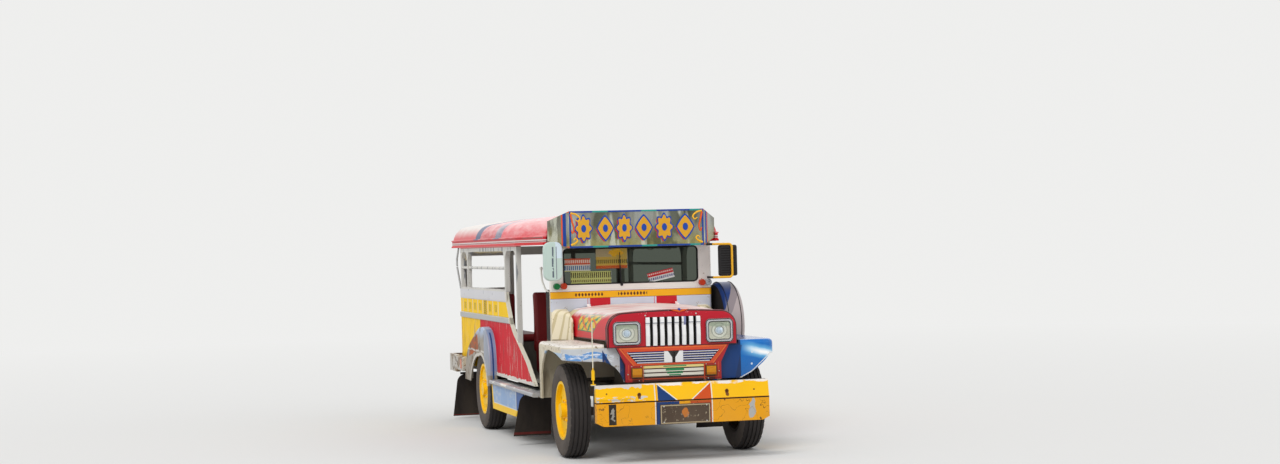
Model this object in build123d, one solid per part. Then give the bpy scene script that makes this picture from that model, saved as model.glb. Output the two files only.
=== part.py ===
from build123d import *
import math
import os

os.makedirs("parts", exist_ok=True)

# Jeepney in its own frame, millimetres: +Z up, the nose faces -Y, the driver sits on the +X side.
# The origin is on the ground, in the middle of the overall length and width.
# Lengths along the vehicle are written behind the front axle, and ay() brings them into the frame.

# Wheels and axles
WHEELBASE = 3200.0
FRONT_OVERHANG = 870.0
REAR_OVERHANG = 1920.0
FRONT_AXLE_Y = FRONT_OVERHANG - (FRONT_OVERHANG + WHEELBASE + REAR_OVERHANG) / 2
TYRE_RADIUS = 402.0
TYRE_WIDTH = 200.0
TYRE_TREAD_WIDTH = 164.0
TYRE_SHOULDER_DROP = 12.0
BEAD_RADIUS = 240.0
FRONT_TYRE_X = 764.0
REAR_TYRE_X = 866.0
BEAD_INSET = 19.0
RIM_WALL = 11.0
RIM_LIP = 10.0
RIM_LIP_WIDTH = 7.0
RIM_HALF = 82.0
DISC_THICKNESS = 10.0
FRONT_DISC_OFFSET = 42.0
REAR_DISC_OFFSET = 60.0
DISC_HOLES = 6
DISC_HOLE = 22.0
DISC_HOLE_CIRCLE = 178.0
STUDS = 6
STUD = 11.0
STUD_CIRCLE = 95.0
DRUM_RADIUS = 150.0
DRUM_WALL = 12.0
HUB_RADIUS = 62.0
HUB_PROUD = 14.0
HUB_CAP = 16.0
SPINDLE_RADIUS = 22.0
SEAT_GAP = 0.3
RUNNING_GAP = 0.06

# Steering
KINGPIN_X = 620.0
KINGPIN_RADIUS = 12.0
BOSS_RADIUS = 28.0
BOSS_HEIGHT = 110.0
EAR_GAP = 5.0
EAR_THICKNESS = 24.0
STEER_ARM = 150.0
TIE_ROD_RADIUS = 11.0

# Chassis
RAIL_X = 380.0
RAIL_WIDTH = 80.0
RAIL_HEIGHT = 120.0
RAIL_WALL = 8.0
FLOOR_Z = 620.0
FLOOR_THICKNESS = 30.0
RAIL_TOP = FLOOR_Z - FLOOR_THICKNESS
RAIL_BOTTOM = RAIL_TOP - RAIL_HEIGHT
RAIL_FRONT = -740.0

# Body
BODY_HALF = 900.0
BODY_WALL = 30.0
BODY_REAR = 4750.0
SKIRT_Z = 560.0
MOULDING_Z = 1085.0
MOULDING_HEIGHT = 55.0
MOULDING_PROUD = 12.0
TRIM_WIDTH = 34.0
TRIM_PROUD = 5.0
SIDE_TOP = 1385.0
EAVE_Z = 1820.0
COWL_Y = 800.0
COWL_HALF = 751.0
COWL_TOP = 1416.0
POST = 45.0
ARCH_RADIUS = 440.0

# Roof
ROOF_REAR = WHEELBASE + REAR_OVERHANG
ROOF_FRONT = 760.0
ROOF_HALF = 920.0
ROOF_FRONT_HALF = 810.0
ROOF_TAPER_END = 1500.0
GUTTER_HEIGHT = 80.0
ROOF_SHOULDER_IN = 163.0
ROOF_SHOULDER_RISE = 146.0
ROOF_ARCH_RISE = 69.0
ROOF_SHOULDER_Z = EAVE_Z + GUTTER_HEIGHT + ROOF_SHOULDER_RISE
ROOF_CROWN = ROOF_SHOULDER_Z + ROOF_ARCH_RISE
ROOF_WALL = 24.0
GUTTER_LIP = 9.0

# Front end
NOSE_Y = -570.0
NOSE_DEPTH = 70.0
NOSE_HALF = 564.0
NOSE_BOTTOM = 945.0
NOSE_TOP = 1250.0
NOSE_WALL = 12.0
NOSE_NECK_HALF = 487.0
GRILLE_HALF = 237.0
GRILLE_Z0 = 952.0
GRILLE_Z1 = 1192.0
GRILLE_BARS = 8
NOSE_EDGE = 20.0
LAMP_X = 402.0
LAMP_Z = 1063.0
LAMP_WIDTH = 240.0
LAMP_HEIGHT = 200.0
LAMP_SEAT = 15.0
LAMP_PROUD = 22.0
LAMP_BEZEL = 22.0
NECK_Z = 800.0
APRON_HALF = 415.0
APRON_Z = 655.0
FENDER_TOP = 975.0
FENDER_HALF = 920.0
FENDER_INNER = 600.0
FENDER_FRONT = -520.0
FENDER_REAR = 535.0
FENDER_SHEET = 15.0
FENDER_CORNER = 120.0
FENDER_ROLL = 36.0
FENDER_FOOT = 480.0
SPLASH_Z = 845.0
BUMPER_HALF = 738.0
BUMPER_Z0 = 320.0
BUMPER_FOLD_Z = 508.0
BUMPER_Z1 = 655.0
BUMPER_SHEET = 12.0
BUMPER_LEAN = 32.0
BUMPER_SEAM = 6.0
BUMPER_PANEL = 8.0
BUMPER_PANEL_HALF = 230.0
BUMPER_HORN = 100.0
HALF_ROUND = 20.0
HALF_ROUND_LENGTH = 285.0
HOOK_X = 375.0
HOOK_Z = 570.0
HOOK_HOLE = 11.0

# Hood
HOOD_FRONT = -495.0
HOOD_REAR = 790.0
HOOD_SHEET = 12.0
HOOD_LOW = 1000.0
HOOD_FRONT_HALF = 552.0
HOOD_REAR_HALF = 605.0
HOOD_FRONT_Z = 1233.0
HOOD_REAR_Z = 1258.0
HOOD_CROWN = 26.0
HOOD_SHOULDER = 120.0
HINGE_X = 410.0
HINGE_Y = 788.0
HINGE_Z = 1272.0
HINGE_PIN = 4.0
HINGE_EYE = 9.0
HINGE_WIDTH = 24.0

# Windshield and visor
SHIELD_Y = 805.0
SHIELD_DEPTH = 35.0
GLASS_HALF = 622.0
GLASS_Z0 = 1462.0
GLASS_Z1 = 1778.0
GLASS_THICKNESS = 6.0
GLASS_CORNER = 40.0
VISOR_Y = 555.0
VISOR_HALF = 617.0
VISOR_Z0 = 1786.0
VISOR_Z1 = 2112.0
WING_HALF = 775.0
WING_Y = 750.0
WING_Z0 = 1855.0
WING_Z1 = 2030.0
VISOR_SHEET = 12.0
VISOR_BAND = 16.0
VISOR_PROUD = 6.0
VISOR_BRACKET_X = 560.0

# Rear flares, steps and outer width
FLARE_PROUD = 85.0
FLARE_HALF = BODY_HALF + FLARE_PROUD
FLARE_ROLL = 20.0
FLARE_BAND = 30.0
FLARE_BAND_PROUD = 5.0
FLARE_SHEET = 10.0
FLARE_FRONT = WHEELBASE - 497
FLARE_REAR = WHEELBASE + 900
FLARE_Z0 = 455.0
FLARE_OPENING_FRONT = WHEELBASE - 417
FLARE_OPENING_REAR = WHEELBASE + 545
FLARE_OPENING_TOP = 725.0
STEP_HALF = 985.0
STEP_FRONT = 560.0
STEP_REAR = FLARE_FRONT - SEAT_GAP
STEP_WIDTH = 175.0
STEP_IN = STEP_HALF - STEP_WIDTH
SKIRT_INSET = 40.0
SKIRT_X = STEP_HALF - SKIRT_INSET
SKIRT_SHEET = 12.0
SKIRT_FRONT = 1130.0
SKIRT_TAIL_Z = 455.0
STEP_Z = 520.0
STEP_HEIGHT = 38.0
STEP_ROLL = 14.0

# Spare wheel
SPARE_RADIUS = 380.0
SPARE_WIDTH = 200.0
SPARE_Y = 915.0
SPARE_Z = 1062.0
SPARE_OUT = 990.0
SPARE_ROLL = 60.0

# Seats
BENCH_X = 520.0
BENCH_FRONT = 2200.0
BENCH_REAR = 4640.0
BENCH_Z = 900.0
BENCH_SHEET = 20.0
WELL_INSET = 80.0
CUSHION = 90.0


def ay(behind_axle):
    return FRONT_AXLE_Y + behind_axle


def block(x0, x1, y0, y1, z0, z1):
    size = Box(x1 - x0, y1 - y0, z1 - z0)
    return Pos((x0 + x1) / 2, ay((y0 + y1) / 2), (z0 + z1) / 2) * size


def side_prism(points, x0, x1):
    face = make_face(Polyline([(ay(y), z) for y, z in points], close=True))
    return extrude(Plane.YZ.offset(x0) * face, x1 - x0)


def front_prism(points, y0, y1):
    face = make_face(Polyline([(x, z) for x, z in points], close=True))
    plane = Plane(origin=(0, ay(y1), 0), x_dir=(1, 0, 0), z_dir=(0, -1, 0))
    return extrude(plane * face, y1 - y0)


def plan_prism(points, z0, z1):
    face = make_face(Polyline([(x, ay(y)) for x, y in points], close=True))
    return extrude(Pos(0, 0, z0) * face, z1 - z0)


def rod_x(x0, x1, y, z, radius):
    return Pos((x0 + x1) / 2, ay(y), z) * Rot(0, 90, 0) * Cylinder(radius, x1 - x0)


def rod_y(x, y0, y1, z, radius):
    return Pos(x, ay((y0 + y1) / 2), z) * Rot(90, 0, 0) * Cylinder(radius, y1 - y0)


def rod_z(x, y, z0, z1, radius):
    return Pos(x, ay(y), (z0 + z1) / 2) * Cylinder(radius, z1 - z0)


def pipe(points, radius, bend):
    path = FilletPolyline([(x, ay(y), z) for x, y, z in points], radius=bend)
    start = Plane(origin=path @ 0, z_dir=path % 0)
    return sweep(start * Circle(radius), path=path)


def flipped(shape):
    return mirror(shape, about=Plane.YZ)


def pair(shape):
    return [shape, flipped(shape)]


def save(name, *solids):
    flat = []
    for solid in solids:
        flat.extend(solid if isinstance(solid, (list, tuple)) else [solid])
    shape = flat[0] if len(flat) == 1 else Compound(children=[Compound(s.solids()) for s in flat])
    export_step(shape, f"parts/{name}.step")


# Wheels
def tyre():
    half = TYRE_WIDTH / 2
    tread = TYRE_TREAD_WIDTH / 2
    sidewall = TYRE_RADIUS - BEAD_RADIUS
    # Half section from the bead to the crown: distance from the middle plane, radius
    section = [(RIM_HALF - BEAD_INSET, BEAD_RADIUS), (0.86 * half, BEAD_RADIUS + 0.13 * sidewall),
               (half, BEAD_RADIUS + 0.48 * sidewall), (tread, TYRE_RADIUS - TYRE_SHOULDER_DROP),
               (0.6 * tread, TYRE_RADIUS)]
    other_half = [(-x, radius) for x, radius in reversed(section)]
    return revolve(make_face(Polyline(section + other_half, close=True)), axis=Axis.X)


def rim(hub_back, disc_offset):
    seat = BEAD_RADIUS - SEAT_GAP
    lip = BEAD_RADIUS + RIM_LIP
    barrel = Rot(0, 90, 0) * Cylinder(seat, 2 * RIM_HALF)
    barrel -= Rot(0, 90, 0) * Cylinder(seat - RIM_WALL, 2 * RIM_HALF)
    for side in (-1, 1):
        ring = Rot(0, 90, 0) * (Cylinder(lip, RIM_LIP_WIDTH) - Cylinder(seat - RIM_WALL, RIM_LIP_WIDTH))
        barrel += Pos(side * (RIM_HALF - RIM_LIP_WIDTH / 2), 0, 0) * ring
    disc = Pos(disc_offset, 0, 0) * Rot(0, 90, 0) * Cylinder(seat - RIM_WALL / 2, DISC_THICKNESS)
    for hole in range(DISC_HOLES):
        slot = Rot(hole * 360 / DISC_HOLES, 0, 0) * Pos(disc_offset, 0, DISC_HOLE_CIRCLE) * Rot(0, 90, 0)
        disc -= slot * Cylinder(DISC_HOLE, 2 * DISC_THICKNESS)
    drum_length = disc_offset - hub_back - 4
    drum_middle = disc_offset - drum_length / 2
    drum_bore = DRUM_RADIUS - DRUM_WALL
    drum = Pos(drum_middle, 0, 0) * Rot(0, 90, 0) * Cylinder(DRUM_RADIUS, drum_length)
    drum -= Pos(drum_middle - DRUM_WALL, 0, 0) * Rot(0, 90, 0) * Cylinder(drum_bore, drum_length)
    hub_front = RIM_HALF + HUB_PROUD
    hub = Pos((hub_back + hub_front) / 2, 0, 0) * Rot(0, 90, 0) * Cylinder(HUB_RADIUS, hub_front - hub_back)
    wheel = barrel + disc + drum + hub
    bore = HUB_RADIUS + hub_front - hub_back
    bore_end = hub_front - HUB_CAP
    wheel -= Pos(bore_end - bore / 2, 0, 0) * Rot(0, 90, 0) * Cylinder(SPINDLE_RADIUS + RUNNING_GAP, bore)
    for stud in range(STUDS):
        turn = (stud + 0.5) * 360 / STUDS
        bolt = Rot(turn, 0, 0) * Pos(disc_offset + DISC_THICKNESS, 0, STUD_CIRCLE) * Rot(0, 90, 0)
        wheel += bolt * Cylinder(STUD, 2 * DISC_THICKNESS)
    return wheel


HUB_BACK = -RIM_HALF + 16
WHEELS = [
    # name, tyre middle x, behind the front axle, side, disc offset
    ("front_left", FRONT_TYRE_X, 0.0, 1, FRONT_DISC_OFFSET),
    ("front_right", FRONT_TYRE_X, 0.0, -1, FRONT_DISC_OFFSET),
    ("rear_left", REAR_TYRE_X, WHEELBASE, 1, REAR_DISC_OFFSET),
    ("rear_right", REAR_TYRE_X, WHEELBASE, -1, REAR_DISC_OFFSET),
]
tyre_solid = tyre()
for name, middle_x, behind, side, disc_offset in WHEELS:
    place = Pos(middle_x, ay(behind), TYRE_RADIUS)
    fitted_tyre = place * tyre_solid
    fitted_rim = place * rim(HUB_BACK, disc_offset)
    save(f"tyre_{name}", fitted_tyre if side > 0 else flipped(fitted_tyre))
    save(f"rim_{name}", fitted_rim if side > 0 else flipped(fitted_rim))


# Knuckles, tie rod and axles
BOSS_TOP = TYRE_RADIUS + BOSS_HEIGHT / 2
BOSS_BOTTOM = TYRE_RADIUS - BOSS_HEIGHT / 2
EAR_TOP = BOSS_TOP + EAR_GAP + EAR_THICKNESS
EAR_BOTTOM = BOSS_BOTTOM - EAR_GAP - EAR_THICKNESS
KNUCKLE_PLATE_X = KINGPIN_X + BOSS_RADIUS + EAR_GAP
KNUCKLE_PLATE = 16.0
KNUCKLE_HALF = 45.0
EAR_RADIUS = 32.0
STEER_ARM_THICKNESS = 14.0
STEER_ARM_TOP = EAR_BOTTOM + STEER_ARM_THICKNESS
SPINDLE_END = 14.0
TIE_ROD_X = KINGPIN_X - 16
TIE_ROD_Z = STEER_ARM_TOP + SEAT_GAP + TIE_ROD_RADIUS + 4


def knuckle():
    plate_end = KNUCKLE_PLATE_X + KNUCKLE_PLATE
    shape = block(KNUCKLE_PLATE_X, plate_end, -KNUCKLE_HALF, KNUCKLE_HALF, EAR_BOTTOM, EAR_TOP)
    for z0 in (EAR_BOTTOM, EAR_TOP - EAR_THICKNESS):
        shape += block(KINGPIN_X, plate_end, -EAR_RADIUS, EAR_RADIUS, z0, z0 + EAR_THICKNESS)
        shape += rod_z(KINGPIN_X, 0, z0, z0 + EAR_THICKNESS, EAR_RADIUS)
    shape += rod_z(KINGPIN_X, 0, EAR_BOTTOM, EAR_TOP, KINGPIN_RADIUS)
    tip = FRONT_TYRE_X + RIM_HALF - SPINDLE_END
    shape += rod_x(plate_end, tip, 0, TYRE_RADIUS, SPINDLE_RADIUS)
    shape += rod_x(plate_end, FRONT_TYRE_X + HUB_BACK - EAR_GAP, 0, TYRE_RADIUS, SPINDLE_RADIUS + 16)
    arm = plan_prism([(KINGPIN_X - 24, 0), (KINGPIN_X + 24, 0), (TIE_ROD_X + 20, STEER_ARM),
                      (TIE_ROD_X - 20, STEER_ARM)], EAR_BOTTOM, STEER_ARM_TOP)
    arm += rod_z(TIE_ROD_X, STEER_ARM, EAR_BOTTOM, STEER_ARM_TOP, 20)
    return shape + arm


knuckle_left = knuckle()
save("knuckle_left", knuckle_left)
save("knuckle_right", flipped(knuckle_left))

tie_rod = rod_x(-TIE_ROD_X, TIE_ROD_X, STEER_ARM, TIE_ROD_Z, TIE_ROD_RADIUS)
for side in (-1, 1):
    end_z = STEER_ARM_TOP + SEAT_GAP
    tie_rod += rod_z(side * TIE_ROD_X, STEER_ARM, end_z, end_z + 2 * TIE_ROD_RADIUS + 8, 19)
save("tie_rod", tie_rod)


BEAM_LOW = BOSS_BOTTOM - 20
BEAM_HEIGHT = 65.0
BEAM_HALF = 28.0
BEAM_WEB_HALF = 8.0
BEAM_FLANGE = 14.0


def front_axle():
    bend = RAIL_X + 60
    beam_top = BEAM_LOW + BEAM_HEIGHT
    # Left half of the I-beam seen from the front: x, z, down from the kingpin to the middle and back
    lower = [(KINGPIN_X, BOSS_BOTTOM + 25), (KINGPIN_X - 90, BOSS_BOTTOM + 10), (bend, BEAM_LOW)]
    upper = [(bend, beam_top), (KINGPIN_X - 90, BOSS_TOP - 45), (KINGPIN_X, BOSS_TOP - 25)]
    left = upper + lower
    beam = front_prism(left + [(-x, z) for x, z in reversed(left)], -BEAM_HALF, BEAM_HALF)
    for y0, y1 in ((-BEAM_HALF, -BEAM_WEB_HALF), (BEAM_WEB_HALF, BEAM_HALF)):
        beam -= block(-bend - 30, bend + 30, y0, y1, BEAM_LOW + BEAM_FLANGE, beam_top - BEAM_FLANGE)
    for side in (-1, 1):
        beam += rod_z(side * KINGPIN_X, 0, BOSS_BOTTOM, BOSS_TOP, BOSS_RADIUS)
        beam -= rod_z(side * KINGPIN_X, 0, BOSS_BOTTOM - 10, BOSS_TOP + 10, KINGPIN_RADIUS + RUNNING_GAP)
    return beam


AXLE_TUBE = 45.0
DIFF_RADIUS = 155.0
DIFF_HALF = 150.0
PINION_REACH = 210.0


def rear_axle():
    back = REAR_TYRE_X + HUB_BACK - EAR_GAP
    tube = rod_x(-back, back, WHEELBASE, TYRE_RADIUS, AXLE_TUBE)
    for side in (-1, 1):
        spindle_tip = REAR_TYRE_X + RIM_HALF - SPINDLE_END
        x0, x1 = sorted((side * back, side * spindle_tip))
        tube += rod_x(x0, x1, WHEELBASE, TYRE_RADIUS, SPINDLE_RADIUS)
    bowl = revolve(make_face([Line((-DIFF_HALF, 0), (DIFF_HALF, 0)),
                              ThreePointArc((DIFF_HALF, 0), (0, DIFF_RADIUS), (-DIFF_HALF, 0))]), axis=Axis.X)
    tube += Pos(0, ay(WHEELBASE), TYRE_RADIUS) * bowl
    tube += rod_y(0, WHEELBASE - PINION_REACH, WHEELBASE, TYRE_RADIUS, 60)
    return tube


save("axles", front_axle(), rear_axle())


# Leaf springs, each pack seated under its rail
LEAF_WIDTH = 60.0
LEAF = 8.0
LEAVES = 4
SPRING_CLAMP = 12.0
FRONT_AXLE_SEAT = BEAM_LOW + BEAM_HEIGHT
REAR_AXLE_SEAT = TYRE_RADIUS - AXLE_TUBE - LEAF * LEAVES


def leaf_pack(axle_behind, seat_z, half_span, leaves, clamp_z):
    pack = None
    eye_z = RAIL_BOTTOM - 22
    x0 = RAIL_X - LEAF_WIDTH / 2
    x1 = RAIL_X + LEAF_WIDTH / 2
    for leaf in range(leaves):
        span = half_span * (1 - leaf * 0.22)
        rise = (eye_z - seat_z - LEAF * leaves) * (span / half_span) ** 2
        z0 = seat_z + LEAF * (leaves - 1 - leaf)
        bottom = ThreePointArc((ay(axle_behind - span), z0 + rise), (ay(axle_behind), z0),
                               (ay(axle_behind + span), z0 + rise))
        top = ThreePointArc((ay(axle_behind + span), z0 + rise + LEAF), (ay(axle_behind), z0 + LEAF),
                            (ay(axle_behind - span), z0 + rise + LEAF))
        right = Line(bottom @ 1, top @ 0)
        left = Line(top @ 1, bottom @ 0)
        sheet = extrude(Plane.YZ.offset(x0) * make_face([bottom, right, top, left]), LEAF_WIDTH)
        pack = sheet if pack is None else pack + sheet
    for end in (-1, 1):
        y = axle_behind + end * half_span
        pack += rod_x(x0, x1, y, eye_z - 2, 16)
        pack += block(x0, x1, y - 14, y + 14, eye_z - 2, RAIL_BOTTOM)
    pack += block(x0 - 10, x1 + 10, axle_behind - 50, axle_behind + 50, clamp_z, clamp_z + SPRING_CLAMP)
    return pack


front_springs = leaf_pack(0.0, FRONT_AXLE_SEAT, 470.0, LEAVES, FRONT_AXLE_SEAT + LEAF * LEAVES)
rear_springs = leaf_pack(WHEELBASE, REAR_AXLE_SEAT, 600.0, LEAVES, REAR_AXLE_SEAT - SPRING_CLAMP)
save("leaf_springs", pair(front_springs), pair(rear_springs))


# Ladder frame
RAIL_INNER = RAIL_X - RAIL_WIDTH / 2
RAIL_OUTER = RAIL_X + RAIL_WIDTH / 2
RAIL_WEB = RAIL_OUTER - RAIL_WALL
# Behind the front axle: the middle of each cross member
CROSS_MEMBERS = [-660, 1320, 2620, 3660, 4660]
CROSS_MEMBER_HALF = 30.0


def frame():
    rail = block(RAIL_INNER, RAIL_OUTER, RAIL_FRONT, BODY_REAR, RAIL_BOTTOM, RAIL_TOP)
    rail -= block(RAIL_INNER, RAIL_WEB, RAIL_FRONT, BODY_REAR, RAIL_BOTTOM + RAIL_WALL, RAIL_TOP - RAIL_WALL)
    shape = rail + flipped(rail)
    for y in CROSS_MEMBERS:
        shape += block(-RAIL_WEB, RAIL_WEB, y - CROSS_MEMBER_HALF, y + CROSS_MEMBER_HALF,
                       RAIL_BOTTOM + RAIL_WALL, RAIL_TOP - RAIL_WALL)
    return shape


save("chassis_frame", frame())

# Engine with its gearbox, one plain block, carried on two side mounts
ENGINE_HALF = 230.0
ENGINE_Y0 = -330.0
ENGINE_Y1 = 600.0
ENGINE_Z0 = 425.0
ENGINE_HEIGHT = 600.0
GEARBOX_HALF = 130.0
GEARBOX_END = 1250.0
GEARBOX_Z0 = 340.0
GEARBOX_Z1 = RAIL_TOP - 20
engine = block(-ENGINE_HALF, ENGINE_HALF, ENGINE_Y0, ENGINE_Y1, ENGINE_Z0, ENGINE_Z0 + ENGINE_HEIGHT)
engine += block(-GEARBOX_HALF, GEARBOX_HALF, ENGINE_Y1, GEARBOX_END, GEARBOX_Z0, GEARBOX_Z1)
engine += block(-RAIL_WEB, RAIL_WEB, 60, 160, GEARBOX_Z1 - 70, GEARBOX_Z1)
engine += block(-RAIL_WEB, RAIL_WEB, GEARBOX_END - 100, GEARBOX_END - 40, RAIL_BOTTOM + 10, GEARBOX_Z1 - 20)

# Radiator between the nose and the engine, on two brackets that stand on the rails
RADIATOR_HALF = 300.0
RADIATOR_Y0 = -490.0
RADIATOR_Y1 = -430.0
RADIATOR_Z0 = 690.0
RADIATOR_Z1 = 1190.0
BRACKET_SHEET = 12.0
bracket_foot = RAIL_TOP + SEAT_GAP
bracket_arm = RADIATOR_Z0 + 10
bracket_x = RAIL_INNER + 10
radiator = block(-RADIATOR_HALF, RADIATOR_HALF, RADIATOR_Y0, RADIATOR_Y1, RADIATOR_Z0, RADIATOR_Z1)
bracket = front_prism([(RADIATOR_HALF, bracket_arm), (bracket_x, bracket_arm), (bracket_x, bracket_foot),
                       (RAIL_X + 30, bracket_foot), (RAIL_X + 30, bracket_foot + BRACKET_SHEET),
                       (bracket_x + BRACKET_SHEET, bracket_foot + BRACKET_SHEET),
                       (bracket_x + BRACKET_SHEET, bracket_arm + BRACKET_SHEET),
                       (RADIATOR_HALF, bracket_arm + BRACKET_SHEET)], RADIATOR_Y0 + 10, RADIATOR_Y1 - 10)
radiator += bracket + flipped(bracket)
save("engine_block", engine, radiator)

# Propeller shaft from the gearbox to the axle
SHAFT_RADIUS = 34.0
SHAFT_JOINT = 55.0
SHAFT_END = WHEELBASE - PINION_REACH
shaft = rod_y(0, GEARBOX_END, SHAFT_END, TYRE_RADIUS, SHAFT_RADIUS)
for joint_y in (GEARBOX_END, SHAFT_END - 90):
    shaft += rod_y(0, joint_y, joint_y + 90, TYRE_RADIUS, SHAFT_JOINT)
save("propshaft", shaft)

# Exhaust, over the rear axle, with its silencer
PIPE_RADIUS = 25.0
SILENCER_RADIUS = 78.0
EXHAUST_X = -ENGINE_HALF - PIPE_RADIUS - 1
EXHAUST_Z = 430.0
EXHAUST_RUN = [
    # behind the front axle, height: up over the rear axle and down again to the tail
    (300, 500), (1500, EXHAUST_Z), (WHEELBASE - 420, EXHAUST_Z), (WHEELBASE - 200, EXHAUST_Z + 100),
    (WHEELBASE + 200, EXHAUST_Z + 100), (WHEELBASE + 420, EXHAUST_Z), (BODY_REAR - 40, EXHAUST_Z),
]
exhaust = pipe([(EXHAUST_X, y, z) for y, z in EXHAUST_RUN], PIPE_RADIUS, 80)
exhaust += rod_y(EXHAUST_X, 1900, 2500, EXHAUST_Z, SILENCER_RADIUS)
for hanger_y in (2200, 4300):
    exhaust += block(EXHAUST_X - 6, EXHAUST_X + 6, hanger_y - 20, hanger_y + 20, EXHAUST_Z, RAIL_TOP)
save("exhaust", exhaust)

# Fuel tank behind the driver's step
TANK_X0 = RAIL_OUTER + 30
TANK_WIDTH = 350.0
TANK_Y0 = 1500.0
TANK_Y1 = 2250.0
TANK_Z0 = 350.0
tank = block(TANK_X0, TANK_X0 + TANK_WIDTH, TANK_Y0, TANK_Y1, TANK_Z0, RAIL_TOP)
tank = fillet(tank.edges().filter_by(Axis.Y), 45)
save("fuel_tank", tank)


# Floor with the two bench boxes, which clear the rear wheels
def floor_pan():
    inside = BODY_HALF - BODY_WALL
    wheel_y0 = WHEELBASE - ARCH_RADIUS
    wheel_y1 = WHEELBASE + ARCH_RADIUS
    pan = block(-inside, inside, COWL_Y, BODY_REAR - BODY_WALL, RAIL_TOP, FLOOR_Z)
    for side in (-1, 1):
        bench = block(BENCH_X, inside, BENCH_FRONT, BENCH_REAR, FLOOR_Z, BENCH_Z)
        bench -= block(BENCH_X + BENCH_SHEET, inside, BENCH_FRONT + BENCH_SHEET, BENCH_REAR - BENCH_SHEET,
                       FLOOR_Z, BENCH_Z - BENCH_SHEET)
        well = block(BENCH_X + BENCH_SHEET + WELL_INSET, inside, wheel_y0, wheel_y1, RAIL_TOP, FLOOR_Z)
        if side < 0:
            bench = flipped(bench)
            well = flipped(well)
        pan = pan + bench - well
    return pan


save("floor_pan", floor_pan())


# Cowl with firewall, side returns and dashboard
COWL_DEPTH = 190.0
COWL_CORNER = 25.0
DASH_HEIGHT = 260.0
SPARE_CARRIER = 70.0
HINGE_EAR = 16.0
SHOULDER_FRONT = 520.0
SHOULDER_TOP = 1245.0
SHOULDER_TIP_TOP = 1150.0
SHOULDER_TIP = 14.0
SHOULDER_GAP = 6.0
SHOULDER_ROUND = 60.0


def shoulder_section(behind, outer, top, radius):
    inner = HOOD_REAR_HALF + SHOULDER_GAP
    foot = FENDER_TOP + SEAT_GAP
    middle = radius * (1 - math.sqrt(0.5))
    rest = Polyline((inner, top), (inner, foot), (outer, foot), (outer, top - radius))
    bend = ThreePointArc((outer, top - radius), (outer - middle, top - middle), (outer - radius, top))
    crown = Line((outer - radius, top), (inner, top))
    return Plane(origin=(0, ay(behind), 0), x_dir=(1, 0, 0), z_dir=(0, -1, 0)) * make_face([rest, bend, crown])


def cowl_shoulder():
    # The flared side of the cowl, from beside the hood out to the door post
    tip_half = HOOD_REAR_HALF + SHOULDER_GAP + SHOULDER_TIP
    waist_half = tip_half + 0.3 * (COWL_HALF - tip_half)
    waist_y = SHOULDER_FRONT + 0.6 * (COWL_Y - SHOULDER_FRONT)
    waist_top = SHOULDER_TIP_TOP + 0.75 * (SHOULDER_TOP - SHOULDER_TIP_TOP)
    return loft([shoulder_section(SHOULDER_FRONT, tip_half, SHOULDER_TIP_TOP, SHOULDER_TIP - 4),
                 shoulder_section(waist_y, waist_half, waist_top, SHOULDER_ROUND / 2),
                 shoulder_section(COWL_Y + 2, COWL_HALF - 2, SHOULDER_TOP, SHOULDER_ROUND)])


def cowl():
    back = COWL_Y + COWL_DEPTH
    shape = block(-COWL_HALF, COWL_HALF, COWL_Y, COWL_Y + BODY_WALL, FLOOR_Z, COWL_TOP)
    shape += block(-COWL_HALF, COWL_HALF, COWL_Y, back, COWL_TOP - BODY_WALL, COWL_TOP)
    shape += block(-COWL_HALF, COWL_HALF, back - BODY_WALL, back, COWL_TOP - DASH_HEIGHT, COWL_TOP)
    side = block(COWL_HALF - BODY_WALL, COWL_HALF, COWL_Y, back, FLOOR_Z, COWL_TOP)
    shape += side + flipped(side)
    shape = fillet(shape.edges().filter_by(Axis.Z).sort_by(Axis.Y)[:2], COWL_CORNER)
    hub_x = SPARE_OUT - SPARE_WIDTH - SEAT_GAP
    shape += rod_x(COWL_HALF - 10, hub_x, SPARE_Y, SPARE_Z, SPARE_CARRIER)
    ear_in = HINGE_WIDTH / 2 + SEAT_GAP
    ear_out = ear_in + HINGE_EAR
    for hinge_x in (-HINGE_X, HINGE_X):
        for x0, x1 in ((hinge_x - ear_out, hinge_x - ear_in), (hinge_x + ear_in, hinge_x + ear_out)):
            shape += block(x0, x1, HINGE_Y - HINGE_EYE, COWL_Y, HINGE_Z - HINGE_EYE + 1, HINGE_Z + HINGE_EYE)
        shape += rod_x(hinge_x - ear_out, hinge_x + ear_out, HINGE_Y, HINGE_Z, HINGE_PIN)
    fairing = cowl_shoulder()
    return shape + fairing + flipped(fairing)


save("cowl", cowl())

# Steering column and wheel on the left
WHEEL_X = 380.0
WHEEL_RING = 200.0
WHEEL_GRIP = 13.0
WHEEL_HUB = 45.0
WHEEL_HUB_LENGTH = 30.0
SPOKE_WIDTH = 24.0
SPOKE_THICKNESS = 10.0
COLUMN_RADIUS = 22.0
COLUMN_REACH = 470.0
COLUMN_LOW_Z = 980.0
COLUMN_HIGH_Z = 1250.0
column_low = Vector(WHEEL_X, ay(COWL_Y + BODY_WALL), COLUMN_LOW_Z)
column_high = Vector(WHEEL_X, ay(COWL_Y + COLUMN_REACH), COLUMN_HIGH_Z)
column_axis = (column_high - column_low).normalized()
column_length = (column_high - column_low).length
column_plane = Plane(origin=column_low, z_dir=column_axis)
column = extrude(column_plane * Circle(COLUMN_RADIUS), column_length)
rim_plane = Plane(origin=column_high, z_dir=column_axis)
column += rim_plane * Torus(WHEEL_RING, WHEEL_GRIP)
column += rim_plane * Cylinder(WHEEL_HUB, WHEEL_HUB_LENGTH)
spoke = Pos(WHEEL_RING / 2, 0, 0) * Box(WHEEL_RING, SPOKE_WIDTH, SPOKE_THICKNESS)
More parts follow.
